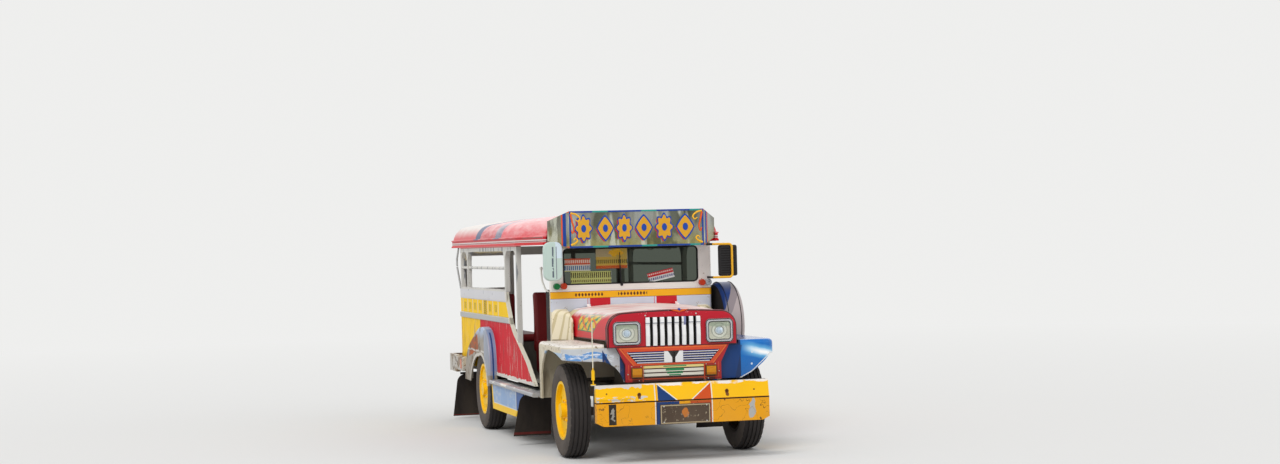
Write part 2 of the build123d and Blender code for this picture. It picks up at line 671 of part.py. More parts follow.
for turn in range(3):
    column += rim_plane * Rot(0, 0, 120 * turn + 90) * spoke
reach = 4 * COLUMN_RADIUS
column -= block(WHEEL_X - reach, WHEEL_X + reach, COWL_Y - reach, COWL_Y + BODY_WALL,
                COLUMN_LOW_Z - reach, COLUMN_LOW_Z + reach)
save("steering_wheel", column)


# Nose panel, grille and lamps
def nose_outline(inset):
    half = NOSE_HALF - inset
    top = NOSE_TOP - inset
    low = NOSE_BOTTOM + inset
    neck = NOSE_NECK_HALF - inset
    apron = APRON_HALF - inset
    foot = APRON_Z + inset
    shoulder = 145.0
    right = Polyline((apron, foot), (apron, NECK_Z), (neck, low), (half, low), (half, top - shoulder))
    corner = ThreePointArc((half, top - shoulder), (half - 50, top - 48), (half - shoulder, top - 14))
    crown = ThreePointArc((half - shoulder, top - 14), (0, top), (shoulder - half, top - 14))
    corner_left = ThreePointArc((shoulder - half, top - 14), (50 - half, top - 48), (-half, top - shoulder))
    left = Polyline((-half, top - shoulder), (-half, low), (-neck, low), (-apron, NECK_Z), (-apron, foot))
    foot_line = Line((-apron, foot), (apron, foot))
    return make_face([right, corner, crown, corner_left, left, foot_line])


def front_plane(behind):
    return Plane(origin=(0, ay(behind), 0), x_dir=(1, 0, 0), z_dir=(0, -1, 0))


def rounded_front(width, height, radius, x, z, y0, y1):
    sketch = Pos(x, z, 0) * RectangleRounded(width, height, radius)
    return extrude(front_plane(y1) * sketch, y1 - y0)


# The lower opening in the nose narrows downwards: half width at the top and bottom, heights
MOUTH_TOP_HALF = 408.0
MOUTH_LOW_HALF = 316.0
MOUTH_Z0 = 806.0
MOUTH_Z1 = 907.0
MOUTH_FRAME = 6.0


def mouth(grow_side, grow_top, grow_low):
    top_half = MOUTH_TOP_HALF + grow_side
    low_half = MOUTH_LOW_HALF + grow_side
    top = MOUTH_Z1 + grow_top
    low = MOUTH_Z0 - grow_low
    return [(-top_half, top), (top_half, top), (low_half, low), (-low_half, low)]


APRON_BARS = [
    # middle height, height: strips below the mouth
    (776, 20), (744, 24), (710, 24),
]
APRON_BAR_HALF = 255.0


def nose():
    back = front_plane(NOSE_Y + NOSE_DEPTH)
    front = NOSE_Y - 8
    shell = extrude(back * nose_outline(0), NOSE_DEPTH)
    rim_edges = shell.faces().sort_by(Axis.Y)[0].edges()
    shell = fillet(rim_edges.filter_by(lambda e: e.center().Z > NOSE_BOTTOM + 1), NOSE_EDGE)
    shell -= extrude(back * nose_outline(NOSE_WALL), NOSE_DEPTH - NOSE_WALL)
    shell += front_prism(mouth(34, 30, 14), NOSE_Y - MOUTH_FRAME, NOSE_Y + 2)
    for z, height in APRON_BARS:
        shell += block(-APRON_BAR_HALF, APRON_BAR_HALF, front, NOSE_Y + 2, z - height / 2, z + height / 2)
    shell -= block(-GRILLE_HALF, GRILLE_HALF, NOSE_Y, NOSE_Y + NOSE_DEPTH, GRILLE_Z0, GRILLE_Z1)
    shell -= front_prism(mouth(0, 0, 0), NOSE_Y - MOUTH_FRAME, NOSE_Y + NOSE_DEPTH)
    seat_width = LAMP_WIDTH - 2 * LAMP_SEAT
    seat_height = LAMP_HEIGHT - 2 * LAMP_SEAT
    lamp_hole = rounded_front(seat_width, seat_height, 30, LAMP_X, LAMP_Z, NOSE_Y, NOSE_Y + NOSE_DEPTH)
    return shell - lamp_hole - flipped(lamp_hole)


save("nose_panel", nose())


# Grille: upright bars, each pressed with a crease near its top, on two cross bars
BAR_WAVE = [
    # height as a share of the bar, how far it stands proud of the nose
    (0.0, 13), (0.35, 20), (0.72, 14), (0.80, 22), (0.95, 20), (1.0, 14),
]


def grille():
    pitch = 2 * GRILLE_HALF / (GRILLE_BARS - 0.44)
    bar = pitch * 0.56
    back_y0 = NOSE_Y + NOSE_WALL
    height = GRILLE_Z1 - GRILLE_Z0 - 2
    front = [(NOSE_Y - proud, GRILLE_Z0 + 1 + share * height) for share, proud in BAR_WAVE]
    outline = front + [(back_y0 + 12, GRILLE_Z1 - 1), (back_y0 + 12, GRILLE_Z0 + 1)]
    shape = block(-GRILLE_HALF - 12, GRILLE_HALF + 12, back_y0, back_y0 + 12, GRILLE_Z0 - 5, GRILLE_Z0 + 14)
    shape += block(-GRILLE_HALF - 12, GRILLE_HALF + 12, back_y0, back_y0 + 12, GRILLE_Z1 - 14, GRILLE_Z1 + 12)
    for index in range(GRILLE_BARS):
        x = -GRILLE_HALF + pitch * index
        shape += side_prism(outline, x + 0.5, x + bar - 0.5)
    return shape


MOUTH_SLATS = 5
MOUTH_PLATE = 82.0


def lower_grille():
    y0 = NOSE_Y - 3
    y1 = NOSE_Y + NOSE_WALL + 14
    pitch = (MOUTH_Z1 - MOUTH_Z0) / MOUTH_SLATS
    shape = None
    for index in range(MOUTH_SLATS):
        z0 = MOUTH_Z0 + pitch * index + 3
        share = (z0 - MOUTH_Z0) / (MOUTH_Z1 - MOUTH_Z0)
        half = MOUTH_LOW_HALF + share * (MOUTH_TOP_HALF - MOUTH_LOW_HALF) - 3
        bar = block(-half, half, y0, y1 - 14, z0, z0 + 0.62 * pitch)
        shape = bar if shape is None else shape + bar
    for x in (-240, 0, 240):
        shape += block(x - 20, x + 20, NOSE_Y + NOSE_WALL, y1, MOUTH_Z0 - 10, MOUTH_Z1 + 12)
    for side in (-1, 1):
        x0, x1 = sorted((side * 12, side * MOUTH_PLATE))
        shape += block(x0, x1, y0 - 6, y0 + 4, MOUTH_Z0 + 3, MOUTH_Z1 - 3)
    return shape


save("grille", grille(), lower_grille())

LAMP_Y = NOSE_Y - LAMP_PROUD
LAMP_RECESS = 12.0


def headlamp(side):
    x = side * LAMP_X
    bowl_width = LAMP_WIDTH - 2 * LAMP_SEAT - 2
    bowl_height = LAMP_HEIGHT - 2 * LAMP_SEAT - 2
    lamp = rounded_front(LAMP_WIDTH, LAMP_HEIGHT, 38, x, LAMP_Z, LAMP_Y, NOSE_Y)
    lamp -= rounded_front(LAMP_WIDTH - 2 * LAMP_BEZEL, LAMP_HEIGHT - 2 * LAMP_BEZEL, 26, x, LAMP_Z,
                          LAMP_Y, LAMP_Y + LAMP_RECESS)
    lamp += rounded_front(bowl_width, bowl_height, 28, x, LAMP_Z, NOSE_Y, NOSE_Y + NOSE_DEPTH)
    return lamp


SIGNAL_X = 322.0
SIGNAL_Z = 732.0
SIGNAL_WIDTH = 95.0
SIGNAL_HEIGHT = 84.0
SIGNAL_PROUD = 25.0
MARKERS = [
    # side, distance in from the cowl's side, z, radius: round lamps at the foot of the windshield posts
    (-1, 56, 1447, 28),
    (-1, 121, 1447, 28),
    (1, 96, 1447, 28),
    (1, 36, 1447, 28),
]
MARKER_PROUD = 45.0
TAIL_LAMPS = [
    # distance from the middle, z, radius: one of each on both sides of the rear wall
    (700, 1010, 48),
    (700, 900, 48),
]
TAIL_LAMP_PROUD = 35.0
lamps = [headlamp(1), headlamp(-1)]
signal = rounded_front(SIGNAL_WIDTH, SIGNAL_HEIGHT, 8, SIGNAL_X, SIGNAL_Z, NOSE_Y - SIGNAL_PROUD, NOSE_Y)
lamps.extend(pair(signal))
for side, inward, z, radius in MARKERS:
    lamps.append(rod_y(side * (COWL_HALF - inward), SHIELD_Y - MARKER_PROUD, SHIELD_Y, z, radius))
for x, z, radius in TAIL_LAMPS:
    lamps.extend(pair(rod_y(x, BODY_REAR, BODY_REAR + TAIL_LAMP_PROUD, z, radius)))
save("lamps", *lamps)


# Front fenders: a pressed shell with a rear leg, an inner splash panel and a front lip of its own shape
LIP_RIGHT = [(FENDER_HALF, 850), (700, 833), (640, 836), (500, 785), (421, 662)]
LIP_LEFT = [(FENDER_HALF, 850), (870, 850), (700, 703), (575, 642)]
ARCH_CROWN = 913.0


def fender_form(inset, low):
    x1 = FENDER_HALF - inset
    y0 = FENDER_FRONT + inset
    y1 = FENDER_REAR - inset
    radius = FENDER_CORNER - inset
    middle = radius * (1 - math.sqrt(0.5))
    inner = Polyline((x1, ay(y0 + radius)), (x1, ay(y1)), (FENDER_INNER, ay(y1)), (FENDER_INNER, ay(y0)),
                     (x1 - radius, ay(y0)))
    corner = ThreePointArc((x1 - radius, ay(y0)), (x1 - middle, ay(y0 + middle)), (x1, ay(y0 + radius)))
    form = extrude(Pos(0, 0, low) * make_face([inner, corner]), FENDER_TOP - inset - low)
    top = form.faces().sort_by(Axis.Z)[-1].edges()
    rolled = top.filter_by(lambda e: e.center().X > FENDER_INNER + 1 and e.center().Y < ay(y1) - 1)
    return fillet(rolled, FENDER_ROLL - inset)


def wheel_opening():
    front = FENDER_FRONT + FENDER_CORNER
    rear = FENDER_REAR - 78
    rise = ThreePointArc((ay(front), 850), (ay(-170), 893), (ay(68), ARCH_CROWN))
    fall = ThreePointArc((ay(68), ARCH_CROWN), (ay(330), 860), (ay(rear), 700))
    low = FENDER_FOOT - 1
    rest = Polyline((ay(rear), 700), (ay(rear), low), (ay(front), low), (ay(front), 850))
    depth = FENDER_HALF - FENDER_INNER
    return extrude(Plane.YZ.offset(FENDER_INNER) * make_face([rise, fall, rest]), depth)


def lip_opening(lip):
    # The lip's lower edge runs level from the side, then in one arc down to the nose
    arc = ThreePointArc(*lip[-3:])
    edge = Polyline(lip[:-2])
    rest = Polyline(lip[-1], (lip[-1][0], FENDER_FOOT - 1), (FENDER_HALF + 1, FENDER_FOOT - 1),
                    (FENDER_HALF + 1, 850), lip[0])
    depth = FENDER_CORNER + 1
    return extrude(front_plane(FENDER_FRONT + FENDER_CORNER) * make_face([edge, arc, rest]), depth)


def fender(lip):
    shape = fender_form(0, FENDER_FOOT) - fender_form(FENDER_SHEET, FENDER_FOOT - 1)
    outer_x = FENDER_INNER + 1
    neck_x = NOSE_NECK_HALF + SEAT_GAP
    apron_x = APRON_HALF + SEAT_GAP
    nose_side = [(outer_x, NOSE_BOTTOM - SEAT_GAP), (neck_x, NOSE_BOTTOM - SEAT_GAP),
                 (apron_x, NECK_Z - SEAT_GAP), (apron_x, APRON_Z), (outer_x, APRON_Z)]
    shape += front_prism(nose_side, FENDER_FRONT, FENDER_FRONT + FENDER_SHEET)
    shape = shape - wheel_opening() - lip_opening(lip)
    shape += block(FENDER_INNER - FENDER_SHEET, FENDER_INNER, FENDER_FRONT, COWL_Y, SPLASH_Z, FENDER_TOP)
    return shape


save("fender_left", fender(LIP_LEFT))
save("fender_right", flipped(fender(LIP_RIGHT)))


# Front bumper: an upper plate that leans back over a lower one, with a seam between, end plates,
# a raised middle panel, two tow hook holes and a half round bar on the right
def bumper_section(back, face, z0, z1):
    return [(back, z0), (face, z0), (face, BUMPER_FOLD_Z), (face + BUMPER_LEAN, z1), (back, z1)]


def bumper():
    front = -FRONT_OVERHANG
    face = front + BUMPER_PANEL
    back = RAIL_FRONT
    sheet = BUMPER_SHEET
    shape = side_prism(bumper_section(back, face, BUMPER_Z0, BUMPER_Z1), -BUMPER_HALF, BUMPER_HALF)
    hollow = bumper_section(back, face + sheet, BUMPER_Z0 + sheet, BUMPER_Z1 - sheet)
    shape -= side_prism(hollow, -BUMPER_HALF + sheet, BUMPER_HALF - sheet)
    shape += side_prism([(front, BUMPER_Z0), (front, BUMPER_FOLD_Z), (front + BUMPER_LEAN, BUMPER_Z1),
                         (face + BUMPER_LEAN + 2, BUMPER_Z1), (face + 2, BUMPER_FOLD_Z), (face + 2, BUMPER_Z0)],
                        -BUMPER_PANEL_HALF, BUMPER_PANEL_HALF)
    shape -= block(-BUMPER_HALF, BUMPER_HALF, front, face + 5, BUMPER_FOLD_Z, BUMPER_FOLD_Z + BUMPER_SEAM)
    shape += rod_x(-BUMPER_HALF, -BUMPER_HALF + HALF_ROUND_LENGTH, face + 16, BUMPER_FOLD_Z + 36, HALF_ROUND)
    for side in (-1, 1):
        middle = side * RAIL_X
        shape += block(middle - 30, middle + 30, back - BUMPER_HORN, back, RAIL_BOTTOM, RAIL_TOP)
        shape -= rod_y(side * HOOK_X, front, back - BUMPER_HORN, HOOK_Z, HOOK_HOLE)
        corner = [(side * BUMPER_HALF, BUMPER_Z0), (side * BUMPER_HALF, BUMPER_Z0 + 28),
                  (side * (BUMPER_HALF - 58), BUMPER_Z0)]
        shape -= front_prism(corner, front, back)
    return shape


save("front_bumper", bumper())

# Thin pole on the right corner of the bumper
POLE_X = -BUMPER_HALF - 8
POLE_Y = -790.0
POLE_RADIUS = 5.0
POLE_TOP = 1180.0
POLE_SLEEVE = 14.0
POLE_FOOT = 22.0
pole = rod_z(POLE_X, POLE_Y, BUMPER_Z1, POLE_TOP, POLE_RADIUS)
pole += rod_z(POLE_X, POLE_Y, BUMPER_Z1 + 45, BUMPER_Z1 + 125, POLE_SLEEVE)
pole += rod_z(POLE_X, POLE_Y, BUMPER_Z1, BUMPER_Z1 + 12, POLE_FOOT)
save("corner_pole", pole)


# Hood: a top sheet with sides that fold down, hinged at the cowl
def hood_section(behind, half, top, low):
    radius = HOOD_SHOULDER
    edge = top - 8
    side = Line((half, low), (half, top - radius))
    bend_x = half - 0.3 * radius
    bend_z = top - 0.33 * radius
    shoulder = ThreePointArc((half, top - radius), (bend_x, bend_z), (half - radius, edge))
    arch = ThreePointArc((half - radius, edge), (0, edge + HOOD_CROWN), (radius - half, edge))
    shoulder_left = ThreePointArc((radius - half, edge), (-bend_x, bend_z), (-half, top - radius))
    side_left = Line((-half, top - radius), (-half, low))
    close = Line((-half, low), (half, low))
    return front_plane(behind) * make_face([side, shoulder, arch, shoulder_left, side_left, close])


def hood():
    rows = [(HOOD_FRONT, HOOD_FRONT_HALF, HOOD_FRONT_Z), (HOOD_REAR, HOOD_REAR_HALF, HOOD_REAR_Z)]
    outer = loft([hood_section(y, half, top, HOOD_LOW) for y, half, top in rows])
    sheet = HOOD_SHEET
    inner = loft([hood_section(y, half - sheet, top - sheet, HOOD_LOW - 40) for y, half, top in rows])
    shape = outer - inner
    for hinge_x in (-HINGE_X, HINGE_X):
        x0 = hinge_x - HINGE_WIDTH / 2
        x1 = hinge_x + HINGE_WIDTH / 2
        shape += block(x0, x1, HINGE_Y - 60, HINGE_Y, HOOD_REAR_Z - 8, HINGE_Z - HINGE_EYE + 3)
        shape += rod_x(x0, x1, HINGE_Y, HINGE_Z, HINGE_EYE)
        shape -= rod_x(x0, x1, HINGE_Y, HINGE_Z, HINGE_PIN + RUNNING_GAP)
    return shape


save("hood", hood())


# Windshield frame, glass and visor
def windshield_frame():
    y1 = SHIELD_Y + SHIELD_DEPTH
    shape = block(-COWL_HALF, COWL_HALF, SHIELD_Y, y1, COWL_TOP, EAVE_Z)
    shape = fillet(shape.edges().filter_by(Axis.Z), 12)
    middle = (GLASS_Z0 + GLASS_Z1) / 2
    return shape - rounded_front(2 * GLASS_HALF, GLASS_Z1 - GLASS_Z0, GLASS_CORNER, 0, middle, SHIELD_Y, y1)


save("windshield_frame", windshield_frame())
glass_y = SHIELD_Y + 12
glass_width = 2 * (GLASS_HALF - SEAT_GAP)
glass_height = GLASS_Z1 - GLASS_Z0 - 2 * SEAT_GAP
glass = rounded_front(glass_width, glass_height, GLASS_CORNER - SEAT_GAP, 0, (GLASS_Z0 + GLASS_Z1) / 2,
                      glass_y, glass_y + GLASS_THICKNESS)
save("windshield_glass", glass)


def wing():
    run = Vector(WING_HALF - VISOR_HALF, WING_Y - VISOR_Y, 0)
    length = run.length
    plane = Plane(origin=(VISOR_HALF, ay(VISOR_Y), 0), x_dir=run, z_dir=run.cross(Vector(0, 0, 1)))
    outline = [(0, VISOR_Z0), (length, WING_Z0), (length, WING_Z1), (0, VISOR_Z1)]
    return extrude(plane * make_face(Polyline(outline, close=True)), -VISOR_SHEET)


def visor():
    shape = block(-VISOR_HALF, VISOR_HALF, VISOR_Y, VISOR_Y + VISOR_SHEET, VISOR_Z0, VISOR_Z1)
    frame = block(-VISOR_HALF, VISOR_HALF, VISOR_Y - VISOR_PROUD, VISOR_Y, VISOR_Z0, VISOR_Z1)
    frame -= block(-VISOR_HALF + VISOR_BAND, VISOR_HALF - VISOR_BAND, VISOR_Y - VISOR_PROUD, VISOR_Y,
                   VISOR_Z0 + VISOR_BAND, VISOR_Z1 - VISOR_BAND)
    side = wing()
    shape += frame + side + flipped(side)
    shape += plan_prism([(-VISOR_HALF, VISOR_Y), (VISOR_HALF, VISOR_Y), (VISOR_HALF, ROOF_FRONT),
                         (-VISOR_HALF, ROOF_FRONT)], WING_Z1 - 12, WING_Z1)
    bracket = block(VISOR_BRACKET_X - 12, VISOR_BRACKET_X + 12, VISOR_Y, SHIELD_Y, VISOR_Z0 + 4, VISOR_Z0 + 16)
    return shape + bracket + flipped(bracket)


save("visor", visor())


# Body sides: the lower wall rises to the rear from the front step, with an arch over the wheel
SIDE_EDGE = [
    # behind the front axle, height: the sloping front edge of each side
    (850, SKIRT_Z), (1190, 760), (1780, 1005), (1920, 1090), (2100, 1290), (2150, SIDE_TOP),
]


def body_side():
    inner = BODY_HALF - BODY_WALL
    wall = side_prism(SIDE_EDGE + [(BODY_REAR, SIDE_TOP), (BODY_REAR, SKIRT_Z)], inner, BODY_HALF)
    trim = side_prism(SIDE_EDGE[:5] + [(y + TRIM_WIDTH, z) for y, z in reversed(SIDE_EDGE[:5])],
                      BODY_HALF, BODY_HALF + TRIM_PROUD)
    wall += trim
    for y0, y1 in ((SIDE_EDGE[0][0], FLARE_FRONT - SEAT_GAP), (FLARE_REAR + SEAT_GAP, BODY_REAR)):
        wall += block(BODY_HALF, BODY_HALF + TRIM_PROUD, y0, y1, SKIRT_Z, SKIRT_Z + TRIM_WIDTH)
    moulding = side_prism([(1925, MOULDING_Z), (1975, MOULDING_Z + MOULDING_HEIGHT),
                           (BODY_REAR, MOULDING_Z + MOULDING_HEIGHT), (BODY_REAR, MOULDING_Z)],
                          BODY_HALF, BODY_HALF + MOULDING_PROUD)
    wall += fillet(moulding.edges().filter_by(Axis.Y).filter_by(lambda e: e.center().X > BODY_HALF + 1), 9)
    wall += block(BODY_HALF, BODY_HALF + TRIM_PROUD, SIDE_EDGE[4][0], BODY_REAR, SIDE_TOP - 90, SIDE_TOP)
    return wall - rod_x(inner, BODY_HALF + MOULDING_PROUD, WHEELBASE, TYRE_RADIUS, ARCH_RADIUS)


save("body_sides", pair(body_side()))

# Window frames: posts bent into the header, so that each bay has round upper corners
RAIL_MID_Z = 1610.0
WINDOW_RAIL = 14.0
BEND_RADIUS = 110.0
POSTS = [
    # middle behind the front axle, foot height
    (1600, 900), (2170, SIDE_TOP), (4300, SIDE_TOP), (BODY_REAR - POST / 2 - BODY_WALL, SIDE_TOP),
]


def bay(y0, y1, foot):
    top = EAVE_Z - POST
    radius = min(BEND_RADIUS, 0.45 * (y1 - y0))
    share = radius * (1 - math.sqrt(0.5))
    rear = ThreePointArc((ay(y1), top - radius), (ay(y1 - share), top - share), (ay(y1 - radius), top))
    front = ThreePointArc((ay(y0 + radius), top), (ay(y0 + share), top - share), (ay(y0), top - radius))
    header = Line((ay(y1 - radius), top), (ay(y0 + radius), top))
    rest = Polyline((ay(y0), top - radius), (ay(y0), foot), (ay(y1), foot), (ay(y1), top - radius))
    return extrude(Plane.YZ.offset(BODY_HALF - POST) * make_face([rear, header, front, rest]), POST)


def window_frame():
    x0 = BODY_HALF - POST
    front = POSTS[0][0] - POST / 2
    foot = POSTS[0][1]
    shape = block(x0, BODY_HALF, front, BODY_REAR - BODY_WALL, foot, EAVE_Z)
    for (y0, _), (y1, low) in zip(POSTS, POSTS[1:]):
        cut_foot = foot if y0 == POSTS[0][0] else low + 20
        shape -= bay(y0 + POST / 2, y1 - POST / 2, cut_foot)
    shape -= block(x0, BODY_HALF, POSTS[1][0] - POST / 2, BODY_REAR, foot, SIDE_TOP)
    shape += rod_y(BODY_HALF - POST / 2, POSTS[1][0], POSTS[3][0], RAIL_MID_Z, WINDOW_RAIL)
    wall = side_prism(SIDE_EDGE + [(BODY_REAR, SIDE_TOP), (BODY_REAR, SKIRT_Z)],
                      BODY_HALF - BODY_WALL, BODY_HALF)
    return shape - wall


save("window_frames", pair(window_frame()))


# Rear portal: half walls beside the entrance, corner posts and header
ENTRANCE_HALF = 320.0
REAR_HEADER = 90.0


def rear_portal():
    y0 = BODY_REAR - BODY_WALL
    inside = BODY_HALF - BODY_WALL
    shape = block(-inside, inside, y0, BODY_REAR, EAVE_Z - REAR_HEADER, EAVE_Z)
    half = block(ENTRANCE_HALF, inside, y0, BODY_REAR, RAIL_TOP, SIDE_TOP)
    half += block(ENTRANCE_HALF, ENTRANCE_HALF + POST, y0, BODY_REAR, SIDE_TOP, EAVE_Z)
    half += block(inside - POST, inside, y0, BODY_REAR, SIDE_TOP, EAVE_Z)
    return shape + half + flipped(half)


save("rear_portal", rear_portal())


# Roof: a crowned shell with a gutter band, narrower over the windshield
def roof_outline(half, inset):
    side = half - inset
    gutter_top = EAVE_Z + GUTTER_HEIGHT
    lip = side + (GUTTER_LIP if inset == 0 else 0)
    # Gutter band from the eave up: distance from the middle, height
    band = [(lip, EAVE_Z), (lip, EAVE_Z + 16), (side, EAVE_Z + 22), (side, gutter_top - 14),
            (lip, gutter_top - 8), (lip, gutter_top), (side - 15, gutter_top + 5)]
    bulge = (side - 52, (gutter_top + ROOF_SHOULDER_Z) / 2 + 12 - inset * 0.7)
    knee = (side - ROOF_SHOULDER_IN, ROOF_SHOULDER_Z - inset)
    shoulder = ThreePointArc(band[-1], bulge, knee)
    arch = ThreePointArc(knee, (0, ROOF_CROWN - inset), (-knee[0], knee[1]))
    other_band = [(-x, z) for x, z in reversed(band)]
    shoulder_left = ThreePointArc((-knee[0], knee[1]), (-bulge[0], bulge[1]), other_band[0])
    base = Line(other_band[-1], band[0])
    return make_face([Polyline(band), shoulder, arch, shoulder_left, Polyline(other_band), base])


def roof():
    front = front_plane(ROOF_FRONT)
    middle = front_plane(ROOF_TAPER_END)
    rear = front_plane(ROOF_REAR)
    length = ROOF_REAR - ROOF_TAPER_END
    shells = []
    for inset in (0, ROOF_WALL):
        taper = loft([front * roof_outline(ROOF_FRONT_HALF, inset), middle * roof_outline(ROOF_HALF, inset)])
        shells.append((taper, extrude(rear * roof_outline(ROOF_HALF, inset), length)))
    (outer, outer_rear), (inner, inner_rear) = shells
    shield = front_plane(SHIELD_Y + SHIELD_DEPTH) * roof_outline(ROOF_FRONT_HALF, ROOF_WALL / 2)
    return outer + outer_rear - inner - inner_rear + extrude(shield, SHIELD_DEPTH)


save("roof", roof())


# Rear wheel flares: pressed pans, steep in front of the wheel and drawn out behind it
FLARE_EDGE = [
    # behind the rear axle, height, then the way inward from there: rearward, upward
    (-475, FLARE_Z0, 1, 0),
    (-490, 700, 1, 0),
    (-390, 930, 0.7, -0.7),
    (-150, 1022, 0.2, -1),
    (360, 917, -0.3, -1),
    (790, 712, -0.7, -0.7),
    (897, FLARE_Z0, -1, 0),
]


def flare_outline(inset):
    points = [(ay(WHEELBASE + behind + inset * back), z + inset * up) for behind, z, back, up in FLARE_EDGE]
    return make_face([Spline(*points), Line(points[-1], points[0])])


def flare_arch(grow, foot):
    # The wheel opening, wider by grow
    front = (ay(FLARE_OPENING_FRONT - grow), foot)
    rear = (ay(FLARE_OPENING_REAR + grow), foot)
    peak = (ay(WHEELBASE + 29), FLARE_OPENING_TOP + grow)
    rise = ThreePointArc(front, (ay(WHEELBASE - 320 - 0.7 * grow), 640 + 0.7 * grow), peak)
    fall = ThreePointArc(peak, (ay(WHEELBASE + 360 + 0.7 * grow), 640 + 0.7 * grow), rear)
    return make_face([rise, fall, Line(rear, front)])


def flare():
    start = Plane.YZ.offset(BODY_HALF)
    shape = extrude(start * flare_outline(0), FLARE_PROUD)
    face_edges = shape.faces().sort_by(Axis.X)[-1].edges()
    shape = fillet(face_edges.filter_by(lambda e: e.center().Z > FLARE_Z0 + 1), FLARE_ROLL)
    shape -= extrude(start * flare_outline(FLARE_SHEET), FLARE_PROUD - FLARE_SHEET)
    band = extrude(Plane.YZ.offset(FLARE_HALF - 2) * flare_arch(FLARE_BAND, FLARE_Z0), FLARE_BAND_PROUD + 2)
    shape += band & extrude(start * flare_outline(0), FLARE_PROUD + FLARE_BAND_PROUD)
    return shape - extrude(start * flare_arch(0, FLARE_Z0 - 1), FLARE_PROUD + FLARE_BAND_PROUD)


save("wheel_flares", pair(flare()))


# Steps with their hanging skirts
SKIRT_EDGE = [
    # behind the front axle, height: the skirt's lower edge from its tail forward
    (2660, 243), (1500, 245), (1400, 320), (SKIRT_FRONT, 425),
]
# Behind the front axle: the arms that carry the step from the rail
STEP_ARMS = [900, 1380, 2300]
STEP_ARM_HALF = 20.0


def side_step():
    step = block(STEP_IN, STEP_HALF, STEP_FRONT, STEP_REAR, STEP_Z - STEP_HEIGHT, STEP_Z)
    step = fillet(step.edges().filter_by(Axis.Y).filter_by(lambda e: e.center().X > STEP_HALF - 1), STEP_ROLL)
    skirt_top = STEP_Z - STEP_HEIGHT + 2
    outline = [(SKIRT_FRONT, skirt_top), (STEP_REAR, skirt_top), (STEP_REAR, SKIRT_TAIL_Z)] + SKIRT_EDGE
    shape = step + side_prism(outline, SKIRT_X, SKIRT_X + SKIRT_SHEET)
    for y in STEP_ARMS:
        shape += block(RAIL_OUTER, STEP_IN + 10, y - STEP_ARM_HALF, y + STEP_ARM_HALF,
                       STEP_Z - STEP_HEIGHT, STEP_Z - 10)
    return shape


save("side_steps", pair(side_step()))

# Mud flaps: the front pair hangs under the step, the rear pair on a bar from the frame
FLAP = 8.0
FLAP_SPREAD = 50.0
FLAP_CORNER = 90.0
FLAP_BAR = 22.0
FLAP_BAR_END = STEP_HALF - 25
REAR_FLAP_Y = 4550.0


def mud_flap(behind, x_in, top, foot, sweep):
    # sweep: how far the foot stands behind the top, in degrees
    height = (top - foot) / math.cos(math.radians(sweep))
    outer = STEP_HALF
    face = make_face(Polyline((x_in, -height), (outer + FLAP_SPREAD, -height), (outer, 0), (x_in, 0), close=True))
    plane = Plane(origin=(0, FLAP, 0), x_dir=(1, 0, 0), z_dir=(0, -1, 0))
    sheet = extrude(plane * face, FLAP)
    corner = sheet.edges().filter_by(Axis.Y).sort_by(lambda e: e.center().X + e.center().Z)[-1]
    return Pos(0, ay(behind), top) * Rot(sweep, 0, 0) * fillet(corner, FLAP_CORNER)


front_flap = mud_flap(1090.0, 690.0, STEP_Z - STEP_HEIGHT - FLAP / 2, 90.0, 18.0)
rear_flap = mud_flap(REAR_FLAP_Y, 700.0, RAIL_BOTTOM + 6, 30.0, 7.0)
rear_flap += block(RAIL_OUTER + SEAT_GAP, FLAP_BAR_END, REAR_FLAP_Y - FLAP_BAR / 2, REAR_FLAP_Y + FLAP_BAR / 2,
                   RAIL_BOTTOM + 5, RAIL_BOTTOM + 5 + FLAP_BAR)
save("mud_flaps", pair(front_flap), pair(rear_flap))

# Rear bumper in two halves that wrap round the corners, with the entrance step between them
REAR_BUMPER_WRAP = 85.0
REAR_BUMPER_HALF = BODY_HALF + REAR_BUMPER_WRAP
REAR_BUMPER_STAND = 270.0
REAR_BUMPER_DEPTH = 60.0
REAR_BUMPER_Z0 = 500.0
REAR_BUMPER_Z1 = 680.0
REAR_WRAP_SHEET = 40.0
REAR_WRAP_LENGTH = 460.0
REAR_BUMPER_ROLL = 18.0
TREAD_HALF = RAIL_INNER - 10
TREAD_REACH = 260.0
TREAD_THICKNESS = 30.0
TREAD_Z = 460.0
REAR_PLATE = 30.0
bumper_y0 = BODY_REAR + REAR_BUMPER_STAND
bumper_y1 = bumper_y0 + REAR_BUMPER_DEPTH
plate_y0 = BODY_REAR + SEAT_GAP
rear_bumper = block(-RAIL_OUTER, RAIL_OUTER, plate_y0, plate_y0 + REAR_PLATE,
                    TREAD_Z - TREAD_THICKNESS, RAIL_TOP - 10)
rear_bumper += block(-TREAD_HALF, TREAD_HALF, plate_y0, BODY_REAR + TREAD_REACH, TREAD_Z - TREAD_THICKNESS, TREAD_Z)
bumper_half = block(RAIL_INNER, REAR_BUMPER_HALF, bumper_y0, bumper_y1, REAR_BUMPER_Z0, REAR_BUMPER_Z1)
bumper_half += block(REAR_BUMPER_HALF - REAR_WRAP_SHEET, REAR_BUMPER_HALF, bumper_y1 - REAR_WRAP_LENGTH, bumper_y1,
                     REAR_BUMPER_Z0, REAR_BUMPER_Z1)
outer_corner = bumper_half.edges().filter_by(Axis.Z).sort_by(lambda e: e.center().X + e.center().Y)[-1]
bumper_half = fillet(outer_corner, REAR_BUMPER_ROLL)
bumper_half += block(RAIL_INNER + 5, RAIL_OUTER - 5, plate_y0, bumper_y0 + 5, RAIL_BOTTOM + 20, RAIL_TOP - 10)
rear_bumper += bumper_half + flipped(bumper_half)
save("rear_bumper", rear_bumper)


